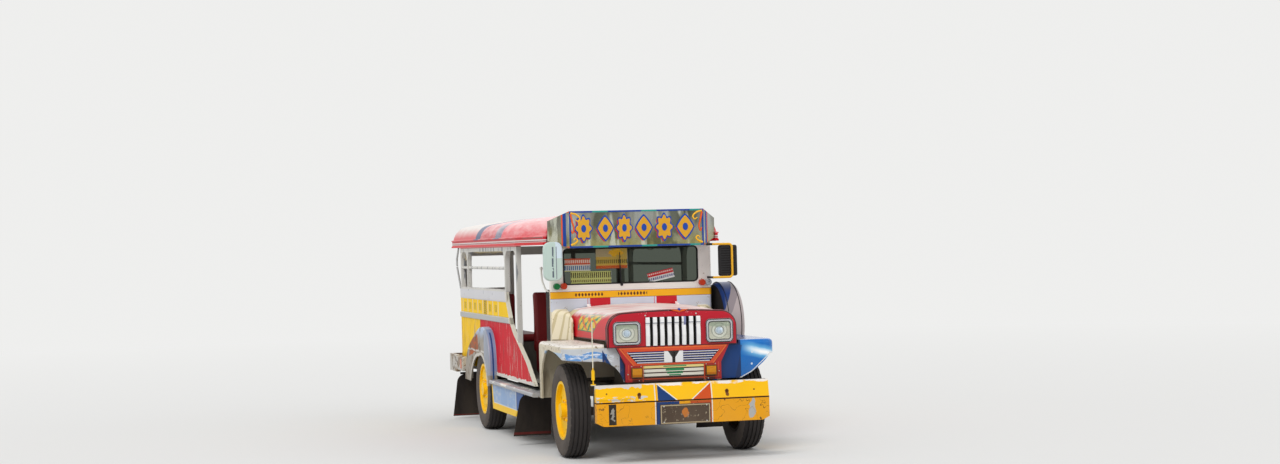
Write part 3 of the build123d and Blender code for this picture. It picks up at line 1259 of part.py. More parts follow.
# Spare wheel with a moulded cover
def spare():
    half = SPARE_WIDTH / 2
    disc = Rot(0, 90, 0) * Cylinder(SPARE_RADIUS, SPARE_WIDTH)
    disc = fillet(disc.edges().filter_by(GeomType.CIRCLE), SPARE_ROLL)
    return Pos(SPARE_OUT - half, ay(SPARE_Y), SPARE_Z) * disc


save("spare_wheel", spare())


# Mirrors on their arms
RIGHT_MIRROR_X = -763.0
RIGHT_MIRROR_Y = 600.0
RIGHT_MIRROR_Z = 1672.0
RIGHT_MIRROR_HEIGHT = 345.0
RIGHT_MIRROR_CORNER = 62.0
RIGHT_ARM_HIGH = 98.0
RIGHT_ARM_LOW = 112.0
LEFT_MIRROR_X = 868.0
LEFT_MIRROR_Y = 660.0
LEFT_MIRROR_Z = 1640.0
LEFT_MIRROR_HEIGHT = 280.0
LEFT_MIRROR_CORNER = 20.0
LEFT_FRAME_HIGH = 150.0
LEFT_FRAME_LOW = 150.0
LEFT_FRAME_OUT = 32.0
MIRROR_WIDTH = 170.0
MIRROR_DEPTH = 44.0
MIRROR_BEVEL = 10.0
MIRROR_TUBE = 9.0


def mirror_head(x, y, z, height, corner):
    head = rounded_front(MIRROR_WIDTH, height, corner, x, z, y - MIRROR_DEPTH / 2, y + MIRROR_DEPTH / 2)
    return chamfer(head.faces().sort_by(Axis.Y)[0].edges(), MIRROR_BEVEL)


right_mirror = mirror_head(RIGHT_MIRROR_X, RIGHT_MIRROR_Y, RIGHT_MIRROR_Z,
                           RIGHT_MIRROR_HEIGHT, RIGHT_MIRROR_CORNER)
post_x = -COWL_HALF + 16
for arm_z in (RIGHT_MIRROR_Z + RIGHT_ARM_HIGH, RIGHT_MIRROR_Z - RIGHT_ARM_LOW):
    right_mirror += pipe([(post_x, SHIELD_Y, arm_z), (post_x, RIGHT_MIRROR_Y + 100, arm_z),
                          (RIGHT_MIRROR_X, RIGHT_MIRROR_Y + 20, arm_z)], MIRROR_TUBE, 20)
left_mirror = mirror_head(LEFT_MIRROR_X, LEFT_MIRROR_Y, LEFT_MIRROR_Z, LEFT_MIRROR_HEIGHT, LEFT_MIRROR_CORNER)
post_x = COWL_HALF - 31
frame_x = LEFT_MIRROR_X + LEFT_FRAME_OUT
frame_y = LEFT_MIRROR_Y - MIRROR_DEPTH / 2 - MIRROR_TUBE
low_z = LEFT_MIRROR_Z - LEFT_FRAME_LOW
high_z = LEFT_MIRROR_Z + LEFT_FRAME_HIGH
left_mirror += pipe([(post_x, SHIELD_Y, low_z), (post_x, frame_y, low_z), (frame_x, frame_y, low_z),
                     (frame_x, frame_y, high_z), (post_x, frame_y, high_z), (post_x, SHIELD_Y, high_z)],
                    MIRROR_TUBE + 1, 30)
save("mirrors", right_mirror, left_mirror)

# Seats: soft cushions and backs
FRONT_SEAT_HALF = 700.0
FRONT_SEAT_Y0 = 1330.0
FRONT_SEAT_Y1 = 1780.0
FRONT_SEAT_HEIGHT = 330.0
FRONT_BACK_THICKNESS = 100.0
seat_half = FRONT_SEAT_HALF
seat_top = FLOOR_Z + FRONT_SEAT_HEIGHT
front_cushion = block(-seat_half, seat_half, FRONT_SEAT_Y0, FRONT_SEAT_Y1, FLOOR_Z + SEAT_GAP, seat_top)
front_back = block(-seat_half, seat_half, FRONT_SEAT_Y1 + SEAT_GAP, FRONT_SEAT_Y1 + FRONT_BACK_THICKNESS,
                   seat_top - 130, seat_top + 430)
front_seat = fillet(front_cushion.edges().filter_by(Axis.X), 30)
front_rest = fillet(front_back.edges().filter_by(Axis.X), 30)
bench_in = BODY_HALF - BODY_WALL - SEAT_GAP
bench = block(BENCH_X, bench_in, BENCH_FRONT, BENCH_REAR, BENCH_Z + SEAT_GAP, BENCH_Z + CUSHION)
back_foot = BENCH_Z + CUSHION + SEAT_GAP
back = block(bench_in - CUSHION, bench_in, BENCH_FRONT, BENCH_REAR, back_foot, SIDE_TOP - 20)
save("seats", front_seat, front_rest, pair(bench), pair(back))

# Grab rails under the roof
GRAB_X = 350.0
GRAB_RADIUS = 14.0
GRAB_DROP = 185.0
GRAB_Z = ROOF_CROWN - GRAB_DROP
GRAB_FRONT = 1900.0
GRAB_REAR = 4600.0
arch_half = ROOF_HALF - ROOF_SHOULDER_IN - ROOF_WALL
arch_radius = (arch_half ** 2 + ROOF_ARCH_RISE ** 2) / (2 * ROOF_ARCH_RISE)
grab_top = ROOF_CROWN - ROOF_WALL - (GRAB_X + GRAB_RADIUS) ** 2 / (2 * arch_radius) - SEAT_GAP
grab = pipe([(GRAB_X, GRAB_FRONT, grab_top), (GRAB_X, GRAB_FRONT, GRAB_Z), (GRAB_X, GRAB_REAR, GRAB_Z),
             (GRAB_X, GRAB_REAR, grab_top)], GRAB_RADIUS, 40)

# Bent tubes at the rear corners, from the body's top edge back and up to the roof's tail
STAY_X = BODY_HALF
stay = pipe([(STAY_X, BODY_REAR - 13, SIDE_TOP + SEAT_GAP), (STAY_X, BODY_REAR + 205, 1620),
             (STAY_X, BODY_REAR + 205, 1700), (STAY_X, BODY_REAR + 80, EAVE_Z - SEAT_GAP)], 11, 40)
stay -= block(STAY_X - 40, STAY_X + 40, BODY_REAR - 60, BODY_REAR + 60, SIDE_TOP - 40, SIDE_TOP + SEAT_GAP)
stay -= block(STAY_X - 40, STAY_X + 40, BODY_REAR, BODY_REAR + 200, EAVE_Z - SEAT_GAP, EAVE_Z + 40)
save("grab_rails", pair(grab), pair(stay))

# Rolled curtains tied under the window headers
CURTAIN_RADIUS = 42.0
curtain_x = BODY_HALF - POST - SEAT_GAP - CURTAIN_RADIUS
curtain = rod_y(curtain_x, POSTS[1][0] + 60, POSTS[2][0] - 60, EAVE_Z - POST / 2, CURTAIN_RADIUS)
save("curtains", pair(curtain))
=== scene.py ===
import math
from functools import reduce
from operator import and_, or_

import bpy
from mathutils import Matrix, Vector


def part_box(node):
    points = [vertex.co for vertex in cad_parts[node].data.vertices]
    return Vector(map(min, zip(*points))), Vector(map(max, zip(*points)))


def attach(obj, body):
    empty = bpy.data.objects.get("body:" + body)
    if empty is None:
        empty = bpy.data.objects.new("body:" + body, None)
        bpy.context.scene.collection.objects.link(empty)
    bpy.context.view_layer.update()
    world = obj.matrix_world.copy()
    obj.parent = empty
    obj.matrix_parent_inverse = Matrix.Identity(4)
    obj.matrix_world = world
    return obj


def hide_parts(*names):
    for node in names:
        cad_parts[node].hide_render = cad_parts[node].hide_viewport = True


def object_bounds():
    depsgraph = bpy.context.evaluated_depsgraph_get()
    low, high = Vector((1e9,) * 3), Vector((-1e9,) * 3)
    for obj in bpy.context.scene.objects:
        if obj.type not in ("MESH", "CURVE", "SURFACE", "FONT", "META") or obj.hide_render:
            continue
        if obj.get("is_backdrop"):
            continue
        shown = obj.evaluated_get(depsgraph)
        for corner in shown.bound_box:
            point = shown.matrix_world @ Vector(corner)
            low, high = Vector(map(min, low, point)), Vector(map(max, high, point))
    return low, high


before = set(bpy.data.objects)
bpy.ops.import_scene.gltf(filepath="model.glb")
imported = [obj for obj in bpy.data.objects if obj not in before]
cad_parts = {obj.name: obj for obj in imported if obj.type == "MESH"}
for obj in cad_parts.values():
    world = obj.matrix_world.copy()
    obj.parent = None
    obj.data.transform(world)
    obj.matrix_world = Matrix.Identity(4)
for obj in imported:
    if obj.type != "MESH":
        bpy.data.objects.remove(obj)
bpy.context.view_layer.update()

# Lengths in metres. A place along the vehicle is written behind the front axle, as d.
AXLE_Y = (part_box("rim_front_left")[0].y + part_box("rim_front_left")[1].y) / 2
WHEELBASE = (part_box("rim_rear_left")[0].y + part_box("rim_rear_left")[1].y) / 2 - AXLE_Y
SIDES = ((1, "left"), (-1, "right"))

DARK = "1a1a1c"
DUST = "8c7c68"
RUST = "703e22"
SILVER = "b0b2b2"


def at(x, d, z):
    return Vector((x, AXLE_Y + d, z))


def span(side, inner, outer):
    """The two ends in x, in order, of something on one side of the vehicle."""
    return sorted((side * inner, side * outer))


def circle(u, v, radius, steps, high=None):
    """Points on a circle, or on an ellipse that is high by another radius."""
    turns = [2 * math.pi * step / steps for step in range(steps)]
    high = radius if high is None else high
    return [(u + radius * math.cos(turn), v + high * math.sin(turn)) for turn in turns]


def linear(colour):
    """The colour that shaders take for a hex code; other colours pass as they are."""
    if not isinstance(colour, str):
        return colour
    shares = [int(colour[i:i + 2], 16) / 255 for i in (0, 2, 4)]
    return (*(c / 12.92 if c <= 0.04045 else ((c + 0.055) / 1.055) ** 2.4 for c in shares), 1.0)


def operation(kind, swapped=False):
    def method(self, *others):
        return self.nodes.math(kind, *(others + (self,) if swapped else (self,) + others))
    return method


class Field:
    """A value that nodes work out. < and > give masks, & is both of two masks and | is either."""

    def __init__(self, nodes, socket):
        self.nodes, self.socket = nodes, socket

    __abs__ = operation("ABSOLUTE")
    __sub__, __rsub__ = operation("SUBTRACT"), operation("SUBTRACT", swapped=True)
    __mul__ = __and__ = operation("MULTIPLY")
    __or__ = operation("MAXIMUM")
    __lt__, __gt__ = operation("LESS_THAN"), operation("GREATER_THAN")
    mad, sine = operation("MULTIPLY_ADD"), operation("SINE")
    modulo, root = operation("FLOORED_MODULO"), operation("SQRT")

    def band(self, low, high):
        return self.nodes.math("COMPARE", self, (low + high) / 2, abs(high - low) / 2)

    def repeat(self, start, pitch):
        """How far a place is into its own one of many equal steps."""
        return (self - start).modulo(pitch)

    def ramp(self, low, high):
        """0 up to low and 1 from high on."""
        return self.nodes.new("MapRange", self, low, high)

    def wobble(self, reach, scale, shift=0.0):
        return (self.nodes.noise(scale, 3.0, shift=shift) - 0.5).mad(2 * reach, self)


# Masks over two fields
def left_of(u, v, a, b):
    across = u.mad(a[1] - b[1], (b[1] - a[1]) * a[0] - (b[0] - a[0]) * a[1])
    return v.mad(b[0] - a[0], across) > 0.0


def area(u, v, points):
    return reduce(and_, [left_of(u, v, a, b) for a, b in zip(points, points[1:] + points[:1])])


def stroke(u, v, points, half):
    """A line of the given half width along a row of points."""
    parts = []
    for a, b in zip(points, points[1:]):
        length = math.hypot(b[0] - a[0], b[1] - a[1])
        tu, tv = (b[0] - a[0]) / length, (b[1] - a[1]) / length
        across = v.mad(tu, u.mad(-tv, a[0] * tv - a[1] * tu))
        ahead = v.mad(tv, u.mad(tu, -a[0] * tu - a[1] * tv))
        parts.append(across.band(-half, half) & ahead.band(-half, length + half))
    return reduce(or_, parts)


def spot(u, v, middle, radii):
    du, dv = (f.mad(1 / r, -m / r) for f, m, r in zip((u, v), middle, radii))
    return du.mad(du, dv * dv) < 1.0


def distance(u, v, middle):
    du, dv = u - middle[0], v - middle[1]
    return du.mad(du, dv * dv).root()


class Nodes:
    """A cleared node tree and short calls that add nodes to it."""

    def __init__(self, owner, output):
        owner.use_nodes = True
        self.tree = owner.node_tree
        self.tree.nodes.clear()
        self.out = self.add(output).inputs[0]

    def put(self, value, socket):
        value = value.socket if isinstance(value, Field) else value
        if isinstance(value, bpy.types.NodeSocket):
            self.tree.links.new(value, socket)
        else:
            socket.default_value = value

    def add(self, kind, *values, named=None, **settings):
        """A node with these settings, with its first inputs fed in order and others by name."""
        node = self.tree.nodes.new("ShaderNode" + kind)
        for key, value in settings.items():
            setattr(node, key, value)
        for socket, value in [*zip(node.inputs, values), *((node.inputs[k], v) for k, v in (named or {}).items())]:
            self.put(value, socket)
        return node

    def new(self, *words, **settings):
        return Field(self, self.add(*words, **settings).outputs[0])

    def math(self, kind, *values):
        return self.new("Math", *values, operation=kind)


class Paint(Nodes):
    """A procedural material over object coordinates, which are the vehicle's own.

    Calling it lays a colour over what it has so far, where the mask is 1.
    """

    def __init__(self, name, colour, rough=0.5, metal=0.0, coat=0.0, spec=0.25):
        self.mat = bpy.data.materials.new(name)
        super().__init__(self.mat, "OutputMaterial")
        looks = {"Specular IOR Level": spec, "Coat Weight": coat, "Coat Roughness": 0.12}
        self.shader = self.add("BsdfPrincipled", named=looks)
        self.put(Field(self, self.shader.outputs[0]), self.out)
        coords = self.add("TexCoord").outputs
        self.place = coords["Object"]
        self.x, y, self.z = self.split(self.place)
        self.d, self.side = y - AXLE_Y, abs(self.x)
        self.facing = self.split(coords["Normal"])
        self.colour, self.rough, self.metal = linear(colour), rough, metal
        self.normal = None

    def split(self, vector):
        return [Field(self, socket) for socket in self.add("SeparateXYZ", vector).outputs]

    def noise(self, scale, detail=4.0, stretch=None, rough=0.55, shift=0.0):
        place = self.place
        if shift:
            place = self.new("VectorMath", place, (shift, shift * 1.7, -shift), operation="ADD")
        if stretch:
            place = self.new("VectorMath", place, stretch, operation="MULTIPLY")
        return self.new("TexNoise", named={"Vector": place, "Scale": scale, "Detail": detail, "Roughness": rough})

    def blend(self, mask, first, second):
        return self.new("Mix", mask, named={2: first, 3: second}, data_type="FLOAT")

    def __call__(self, colour, mask, rough=None, metal=None):
        mix = self.add("Mix", mask, named={6: self.colour, 7: linear(colour)}, data_type="RGBA")
        self.colour = Field(self, mix.outputs[2])
        if rough is not None:
            self.rough = self.blend(mask, self.rough, rough)
        if metal is not None:
            self.metal = self.blend(mask, self.metal, metal)
        return self

    def fade(self, amount=0.1, scale=2.3):
        """Sun-bleached and darker patches of the paint below."""
        tone = self.noise(scale, 5.0).mad(2 * amount, 1.0 - amount)
        colour = self.colour if isinstance(self.colour, Field) else self.colour[:3]
        self.colour = self.new("VectorMath", colour, operation="SCALE", named={"Scale": tone})
        return self

    def grime(self, amount=0.5, low=0.35, high=1.15, colour=DUST):
        """Road dust that thins out upwards, with streaks."""
        streaks = self.noise(5.0, 6.0, (1.0, 1.0, 0.25))
        return self(colour, self.z.ramp(high, low) * streaks.ramp(0.3, 0.72) * amount, rough=0.85)

    def chips(self, colour, where=None, scale=42.0, share=0.63, shift=3.1):
        mask = self.noise(scale, 6.0, rough=0.7, shift=shift).ramp(share, share + 0.025)
        return self(colour, mask if where is None else mask & where, rough=0.7)

    def bump(self, height, reach, strength=1.0):
        named = {"Distance": reach, "Strength": strength, "Height": height}
        if self.normal is not None:
            named["Normal"] = self.normal
        self.normal = self.new("Bump", named=named)
        return self

    def dents(self, reach=0.004, scale=3.0):
        return self.bump(self.noise(scale, 2.0), reach, 0.6)

    def done(self):
        looks = {"Base Color": self.colour, "Roughness": self.rough, "Metallic": self.metal}
        if self.normal is not None:
            looks["Normal"] = self.normal
        for name, value in looks.items():
            self.put(value, self.shader.inputs[name])
        return self.mat


def dress(nodes, material):
    for node in nodes.split():
        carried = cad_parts[node]
        if not carried.data.materials:
            carried.data.materials.append(None)
        for slot in carried.material_slots:
            slot.link = "OBJECT"
            slot.material = material
    return material


def material(*looks, on="", **more):
    """Turns a function that lays the layers into its material, and dresses these nodes in it."""
    def make(layers):
        p = Paint(layers.__name__, *looks, **more)
        layers(p, p.x, p.d, p.z, p.side)
        return dress(on, p.done())
    return make


def plain(name, colour, rough=0.5, metal=0.0, dirt=0.0, low=0.35, high=1.15, spec=0.3, chips=(), on=""):
    p = Paint(name, colour, rough, metal, spec=spec)
    p.fade().grime(dirt, low, high).dents(0.002, 6.0)
    for scale, share, shift, tint in chips:
        p.chips(tint, None, scale, share, shift)
    return dress(on, p.done())


def glass(name, colour, rough=0.02, ior=1.12):
    p = Paint(name, colour, rough, spec=0.5)
    p.shader.inputs["Transmission Weight"].default_value = 1.0
    p.shader.inputs["IOR"].default_value = ior
    return p


class Shape:
    """Collects faces in metres, each with the number of its material."""

    def __init__(self):
        self.verts, self.faces, self.marks = [], [], []

    def add(self, verts, faces, mark=0):
        first = len(self.verts)
        self.verts.extend(Vector(v) for v in verts)
        self.faces.extend(tuple(first + i for i in face) for face in faces)
        self.marks.extend([mark] * len(faces))
        return self

    def box(self, lo, hi, mark=0):
        verts = [(x, y, z) for x in (lo[0], hi[0]) for y in (lo[1], hi[1]) for z in (lo[2], hi[2])]
        faces = [(0, 1, 3, 2), (4, 6, 7, 5), (0, 4, 5, 1), (2, 3, 7, 6), (0, 2, 6, 4), (1, 5, 7, 3)]
        return self.add(verts, faces, mark)

    def prism(self, outline, place, mark=0):
        """place gives the point for a point of the outline and 0 or 1, the end of the prism."""
        return self.rings([[place(u, v, end) for u, v in outline] for end in (0, 1)], mark)

    def grid(self, rows, mark=0, wrap_rows=False, wrap_cells=False):
        """A surface through equal rows of points."""
        count, faces = len(rows[0]), []
        for row in range(len(rows) - (not wrap_rows)):
            a, b = row * count, (row + 1) % len(rows) * count
            faces += [(a + c, a + (c + 1) % count, b + (c + 1) % count, b + c)
                      for c in range(count - (not wrap_cells))]
        return self.add([v for row in rows for v in row], faces, mark)

    def rings(self, rings, mark=0, closed=False, caps=True):
        first, count = len(self.verts), len(rings[0])
        self.grid(rings, mark, closed, True)
        if caps and not closed:
            end = len(self.verts)
            self.faces += [tuple(reversed(range(first, first + count))), tuple(range(end - count, end))]
            self.marks += [mark, mark]
        return self

    def lathe(self, profile, middle, axis, steps=48, mark=0, radius_of=None):
        """profile holds places along the axis and their radii; radius_of may change a radius."""
        axis = Vector(axis).normalized()
        side = axis.orthogonal().normalized()
        up = axis.cross(side)
        rows = []
        for step in range(steps):
            turn = 2 * math.pi * step / steps
            out = side * math.cos(turn) + up * math.sin(turn)
            rows.append([middle + axis * along + out * (radius_of(i, step, radius) if radius_of else radius)
                         for i, (along, radius) in enumerate(profile)])
        return self.grid(rows, mark, wrap_rows=True)

    def tube(self, points, radius, steps=8, mark=0, closed=False):
        points = [Vector(p) for p in points]
        radii = radius if isinstance(radius, list) else [radius] * len(points)
        rings, side = [], None
        for i, point in enumerate(points):
            before = points[i - 1] if i or closed else point
            after = points[(i + 1) % len(points)] if i < len(points) - 1 or closed else point
            along = (after - before).normalized()
            side = along.orthogonal() if side is None else side - along * side.dot(along)
            side.normalize()
            up = along.cross(side)
            rings.append([point + (side * u + up * v) * radii[i] for u, v in circle(0, 0, 1, steps)])
        return self.rings(rings, mark, closed)

    def dome(self, middle, out, radius, height, steps=10, mark=0):
        profile = [(height, 0.0), (0.8 * height, 0.55 * radius), (0.35 * height, 0.9 * radius), (-0.001, radius)]
        return self.lathe(profile, Vector(middle), out, steps, mark)

    def piece(self, name, slot, *materials, body="body", smooth=35.0, bevel=0.0):
        mesh = bpy.data.meshes.new(name)
        mesh.from_pydata([tuple(v) for v in self.verts], [], self.faces)
        for polygon, mark in zip(mesh.polygons, self.marks):
            polygon.material_index = mark
            polygon.use_smooth = True
        for material in materials:
            mesh.materials.append(material)
        mesh.update()
        mesh.set_sharp_from_angle(angle=math.radians(smooth))
        piece = bpy.data.objects.new(name, mesh)
        bpy.context.scene.collection.objects.link(piece)
        if bevel:
            edge = piece.modifiers.new("edges", "BEVEL")
            edge.width = bevel
            edge.segments = 2
            edge.limit_method = "ANGLE"
        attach(piece, body)
        return piece


def smooth_line(points, parts=6):
    """Points on a smooth curve through the given ones."""
    points = [Vector(p) for p in points]
    ends = [2 * points[0] - points[1]] + points + [2 * points[-1] - points[-2]]
    out = []
    for i in range(1, len(ends) - 2):
        a, b, c, e = ends[i - 1:i + 3]
        for step in range(parts):
            t = step / parts
            out.append(0.5 * (2 * b + (c - a) * t + (2 * a - 5 * b + 4 * c - e) * t * t
                              + (3 * b - a - 3 * c + e) * t ** 3))
    return out + [points[-1]]


def rounded(half_u, half_v, radius, steps=6):
    points = []
    for cu, cv, start in ((1, 1, 0), (-1, 1, 90), (-1, -1, 180), (1, -1, 270)):
        for step in range(steps + 1):
            turn = math.radians(start + 90 * step / steps)
            points.append((cu * (half_u - radius) + radius * math.cos(turn),
                           cv * (half_v - radius) + radius * math.sin(turn)))
    return points


def upright(points, x, d, z):
    """The points of an outline, set upright across the vehicle round x, d and z."""
    return [at(x + u, d, z + v) for u, v in points]


# Camera
CAMERA_PLACE = (-4.5605, -19.4024, 1.7749)
CAMERA_YAW, CAMERA_PITCH, CAMERA_ROLL = 14.4283, -0.4336, -1.4601
CAMERA_LENS = 58.13


def set_camera():
    yaw, pitch, roll = (math.radians(v) for v in (CAMERA_YAW, CAMERA_PITCH, CAMERA_ROLL))
    forward = Vector((math.sin(yaw) * math.cos(pitch), math.cos(yaw) * math.cos(pitch), -math.sin(pitch)))
    right = Vector((math.cos(yaw), -math.sin(yaw), 0.0))
    up = right.cross(forward)
    right_rolled = right * math.cos(roll) + up * math.sin(roll)
    up_rolled = up * math.cos(roll) - right * math.sin(roll)
    data = bpy.data.cameras.new("camera")
    data.lens = CAMERA_LENS
    data.sensor_width = 36.0
    data.clip_end = 400.0
    camera = bpy.data.objects.new("camera", data)
    turn = Matrix((right_rolled, up_rolled, -forward)).transposed().to_4x4()
    camera.matrix_world = Matrix.Translation(CAMERA_PLACE) @ turn
    bpy.context.scene.collection.objects.link(camera)
    bpy.context.scene.camera = camera


# Light: a pale world, seen at full strength, that lights the object more softly, and three soft lamps
BACKDROP = (0.86, 0.86, 0.85, 1.0)
GROUND = (0.78, 0.78, 0.77, 1.0)
WORLD_LIGHT = 0.55
LAMPS = [
    # where the light comes from, strength, spread in degrees
    ((-7.0, -10.0, 13.0), 1.45, 30.0),
    ((9.0, -7.0, 6.0), 0.45, 60.0),
    ((2.0, 12.0, 8.0), 0.45, 60.0),
]
FLOOR_RADIUS = 120
FLOOR_FADE = (5.5, 24.0)


def set_light():
    world = bpy.data.worlds.new("studio")
    bpy.context.scene.world = world
    nodes = Nodes(world, "OutputWorld")
    light = nodes.new("Background", (1.0, 1.0, 1.0, 1.0), WORLD_LIGHT)
    path = nodes.add("LightPath").outputs
    camera, glossy, through = (Field(nodes, path[f"Is {ray} Ray"]) for ray in ("Camera", "Glossy", "Transmission"))
    nodes.put(nodes.new("MixShader", camera | glossy | through, light, nodes.new("Background", BACKDROP)), nodes.out)
    for index, (source, strength, spread) in enumerate(LAMPS):
        data = bpy.data.lights.new(f"lamp_{index}", "SUN")
        data.energy = strength
        data.angle = math.radians(spread)
        lamp = bpy.data.objects.new(f"lamp_{index}", data)
        lamp.rotation_euler = Vector(source).to_track_quat("Z", "Y").to_euler()
        bpy.context.scene.collection.objects.link(lamp)


def set_floor():
    material = bpy.data.materials.new("floor")
    nodes = Nodes(material, "OutputMaterial")
    place = nodes.add("TexCoord").outputs["Object"]
    reach = Field(nodes, nodes.add("VectorMath", place, operation="LENGTH").outputs["Value"])
    ground, far = nodes.new("BsdfDiffuse", GROUND), nodes.new("Emission", BACKDROP)
    nodes.put(nodes.new("MixShader", reach.ramp(*FLOOR_FADE), ground, far), nodes.out)
    mesh = bpy.data.meshes.new("floor")
    rim = [(u, v, 0.0) for u, v in circle(0, 0, FLOOR_RADIUS, 96)]
    mesh.from_pydata(rim, [], [tuple(range(len(rim)))])
    mesh.materials.append(material)
    floor = bpy.data.objects.new("floor", mesh)
    bpy.context.scene.collection.objects.link(floor)
    floor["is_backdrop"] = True


set_camera()
bpy.context.scene.view_settings.view_transform = "Standard"
set_light()
set_floor()


# Materials of the carried nodes and of the pieces here
BELT = (1.143, 1.286)
chassis_mat = plain("chassis_mat", "282624", 0.7, dirt=0.6, low=0.3, high=0.9,
                    chips=[(18.0, 0.6, 3.1, RUST)], on="chassis_frame")
axle_mat = plain("axle_mat", "383430", 0.65, 0.3, dirt=0.7, low=0.2, high=0.8, chips=[(22.0, 0.58, 3.1, RUST)],
                 on="leaf_springs axles propshaft knuckle_left knuckle_right tie_rod")
plain("engine_mat", "464644", 0.6, 0.5, dirt=0.7, low=0.5, high=1.2, on="engine_block")
plain("exhaust_mat", "68584a", 0.6, 0.7, dirt=0.5, low=0.2, high=0.9, chips=[(9.0, 0.5, 3.1, RUST)], on="exhaust")
plain("tank_mat", "262628", 0.5, dirt=0.6, low=0.2, high=0.9, on="fuel_tank")
rear_bumper_mat = plain("rear_bumper_mat", "c4c0b8", 0.45, 0.2, dirt=0.35, low=0.35, high=0.9,
                        chips=[(5.0, 0.54, 3.1, "968470"), (14.0, 0.56, 8.0, "68503a")], on="rear_bumper")
plain("grab_rail_mat", "bebebe", 0.24, 0.9, dirt=0.1, on="grab_rails")
plain("column_mat", DARK, 0.5, dirt=0.1, on="steering_wheel")
chrome = plain("chrome_mat", "c8cacc", 0.16, 0.9, dirt=0.1)

SIDE_FRONT = [(0.85, 0.56), (1.19, 0.76), (1.78, 1.005), (1.92, 1.09), (2.1, 1.29), (2.15, 1.385)]
BOARDS = [
    # corners in x and z of the boards stuck behind the windshield
    [(-0.609, 1.576), (-0.373, 1.576), (-0.373, 1.691), (-0.609, 1.691)],
    [(-0.557, 1.463), (-0.181, 1.463), (-0.181, 1.574), (-0.557, 1.574)],
    [(-0.321, 1.594), (-0.029, 1.594), (-0.029, 1.778), (-0.321, 1.778)],
    [(0.174, 1.458), (0.412, 1.503), (0.392, 1.587), (0.149, 1.537)],
]


@material("605e58", 0.5, 0.6, on="floor_pan")
def floor_steel_mat(p, x, d, z, side):
    plate = (x * 180.0).sine() * (d * 180.0).sine()
    p.bump(plate, 0.002).fade(0.15).grime(0.5, 0.3, 1.0)


@material("ded4be", 0.4, spec=0.3, on="cowl")
def cowl_paint(p, x, d, z, side):
    front = (d < 0.815) & (z > 1.22)
    p("ced2de", front & (z < 1.334))
    for x0, x1 in ((-0.389, -0.2), (0.228, 0.42)):
        p("c41828", front & (x.band(x0, x1) | x.band(x0 - 0.022, x0 - 0.017)) & (z < 1.333))
    band = front & z.band(1.336, 1.395)
    p("f6b216", band)
    # A row of small dark lozenges in two groups, in place of lettering
    across = abs(x.repeat(-0.531, 0.03) - 0.015)
    high = abs(z - 1.366)
    lozenge = high.mad(0.62, across) < 0.0115
    groups = x.band(-0.531, -0.261) | x.band(-0.127, 0.143)
    p("5c2c16", band & lozenge & groups)
    p("e8e4de", front & (z > 1.396))
    p("78281a", front & (z.band(1.333, 1.3365) | z.band(1.3945, 1.398)))
    shoulder = (d < 0.798) & (side > 0.6) & (z < 1.255)
    p("f6eacc", shoulder)
    # Darker ribs over the pale shoulder are painted shade in its pleats
    pleat_shade = z.mad(20.0, d * 70.0).sine()
    p("d8c89e", shoulder & (pleat_shade > 0.6))
    p(DARK, d > 0.835, 0.7)
    p.chips("967e60", side > 0.6, 22.0, 0.64)
    p.fade(0.06).grime(0.25, 0.5, 1.4).dents()


@material("d40c22", 0.34, spec=0.22, on="hood")
def hood_paint(p, x, d, z, side):
    # Red sides, a flame patch on the right shoulder, a pale top that is partly worn paint and partly painted
    # highlight, and a cream rear part
    right = x < 0.0
    patch = [(-0.068, 1.062), (0.43, 1.07), (0.365, 1.205), (-0.33, 1.212)]
    flame = right & area(d.wobble(0.012, 16.0), z, patch)
    p("e8c42c", flame)
    swirl = z.mad(80.0, d.wobble(0.14, 9.0) * 34.0)
    p("248e68", flame & (swirl.sine() > 0.45))
    tongue = z.mad(-44.0, d.wobble(0.16, 8.0, 3.0) * 34.0)
    p("e06028", flame & (tongue.sine() > 0.6))
    p("1e7854", right & stroke(d, z, patch + patch[:1], 0.004))
    p("e8e2da", right & spot(d, z, (0.583, 1.102), (0.022, 0.014)))
    # The pale streaky top is partly worn paint and partly a painted highlight
    top = z.wobble(0.035, 6.0).ramp(1.18, 1.222)
    streaks = p.noise(7.0, 5.0, (0.35, 1.0, 1.0)).ramp(0.36, 0.56)
    p("fff6f3", top * streaks.mad(0.45, 0.55), 0.45)
    rear = left_of(d.wobble(0.008, 9.0), z, (0.6, 1.24), (0.93, 0.98))
    p("eadcb2", rear & (z < 1.236))
    # Darker ribs on the cream rear part are painted shade in its pleats
    ribs = rear & (z.mad(26.0, d * 62.0).sine() > 0.55)
    p("ceb880", ribs & (z < 1.2))
    p("460c12", (d < -0.489) | (z < 1.008) & (d < 0.62))
    p.fade(0.07).grime(0.14, 0.6, 1.3).dents(0.003, 2.2)


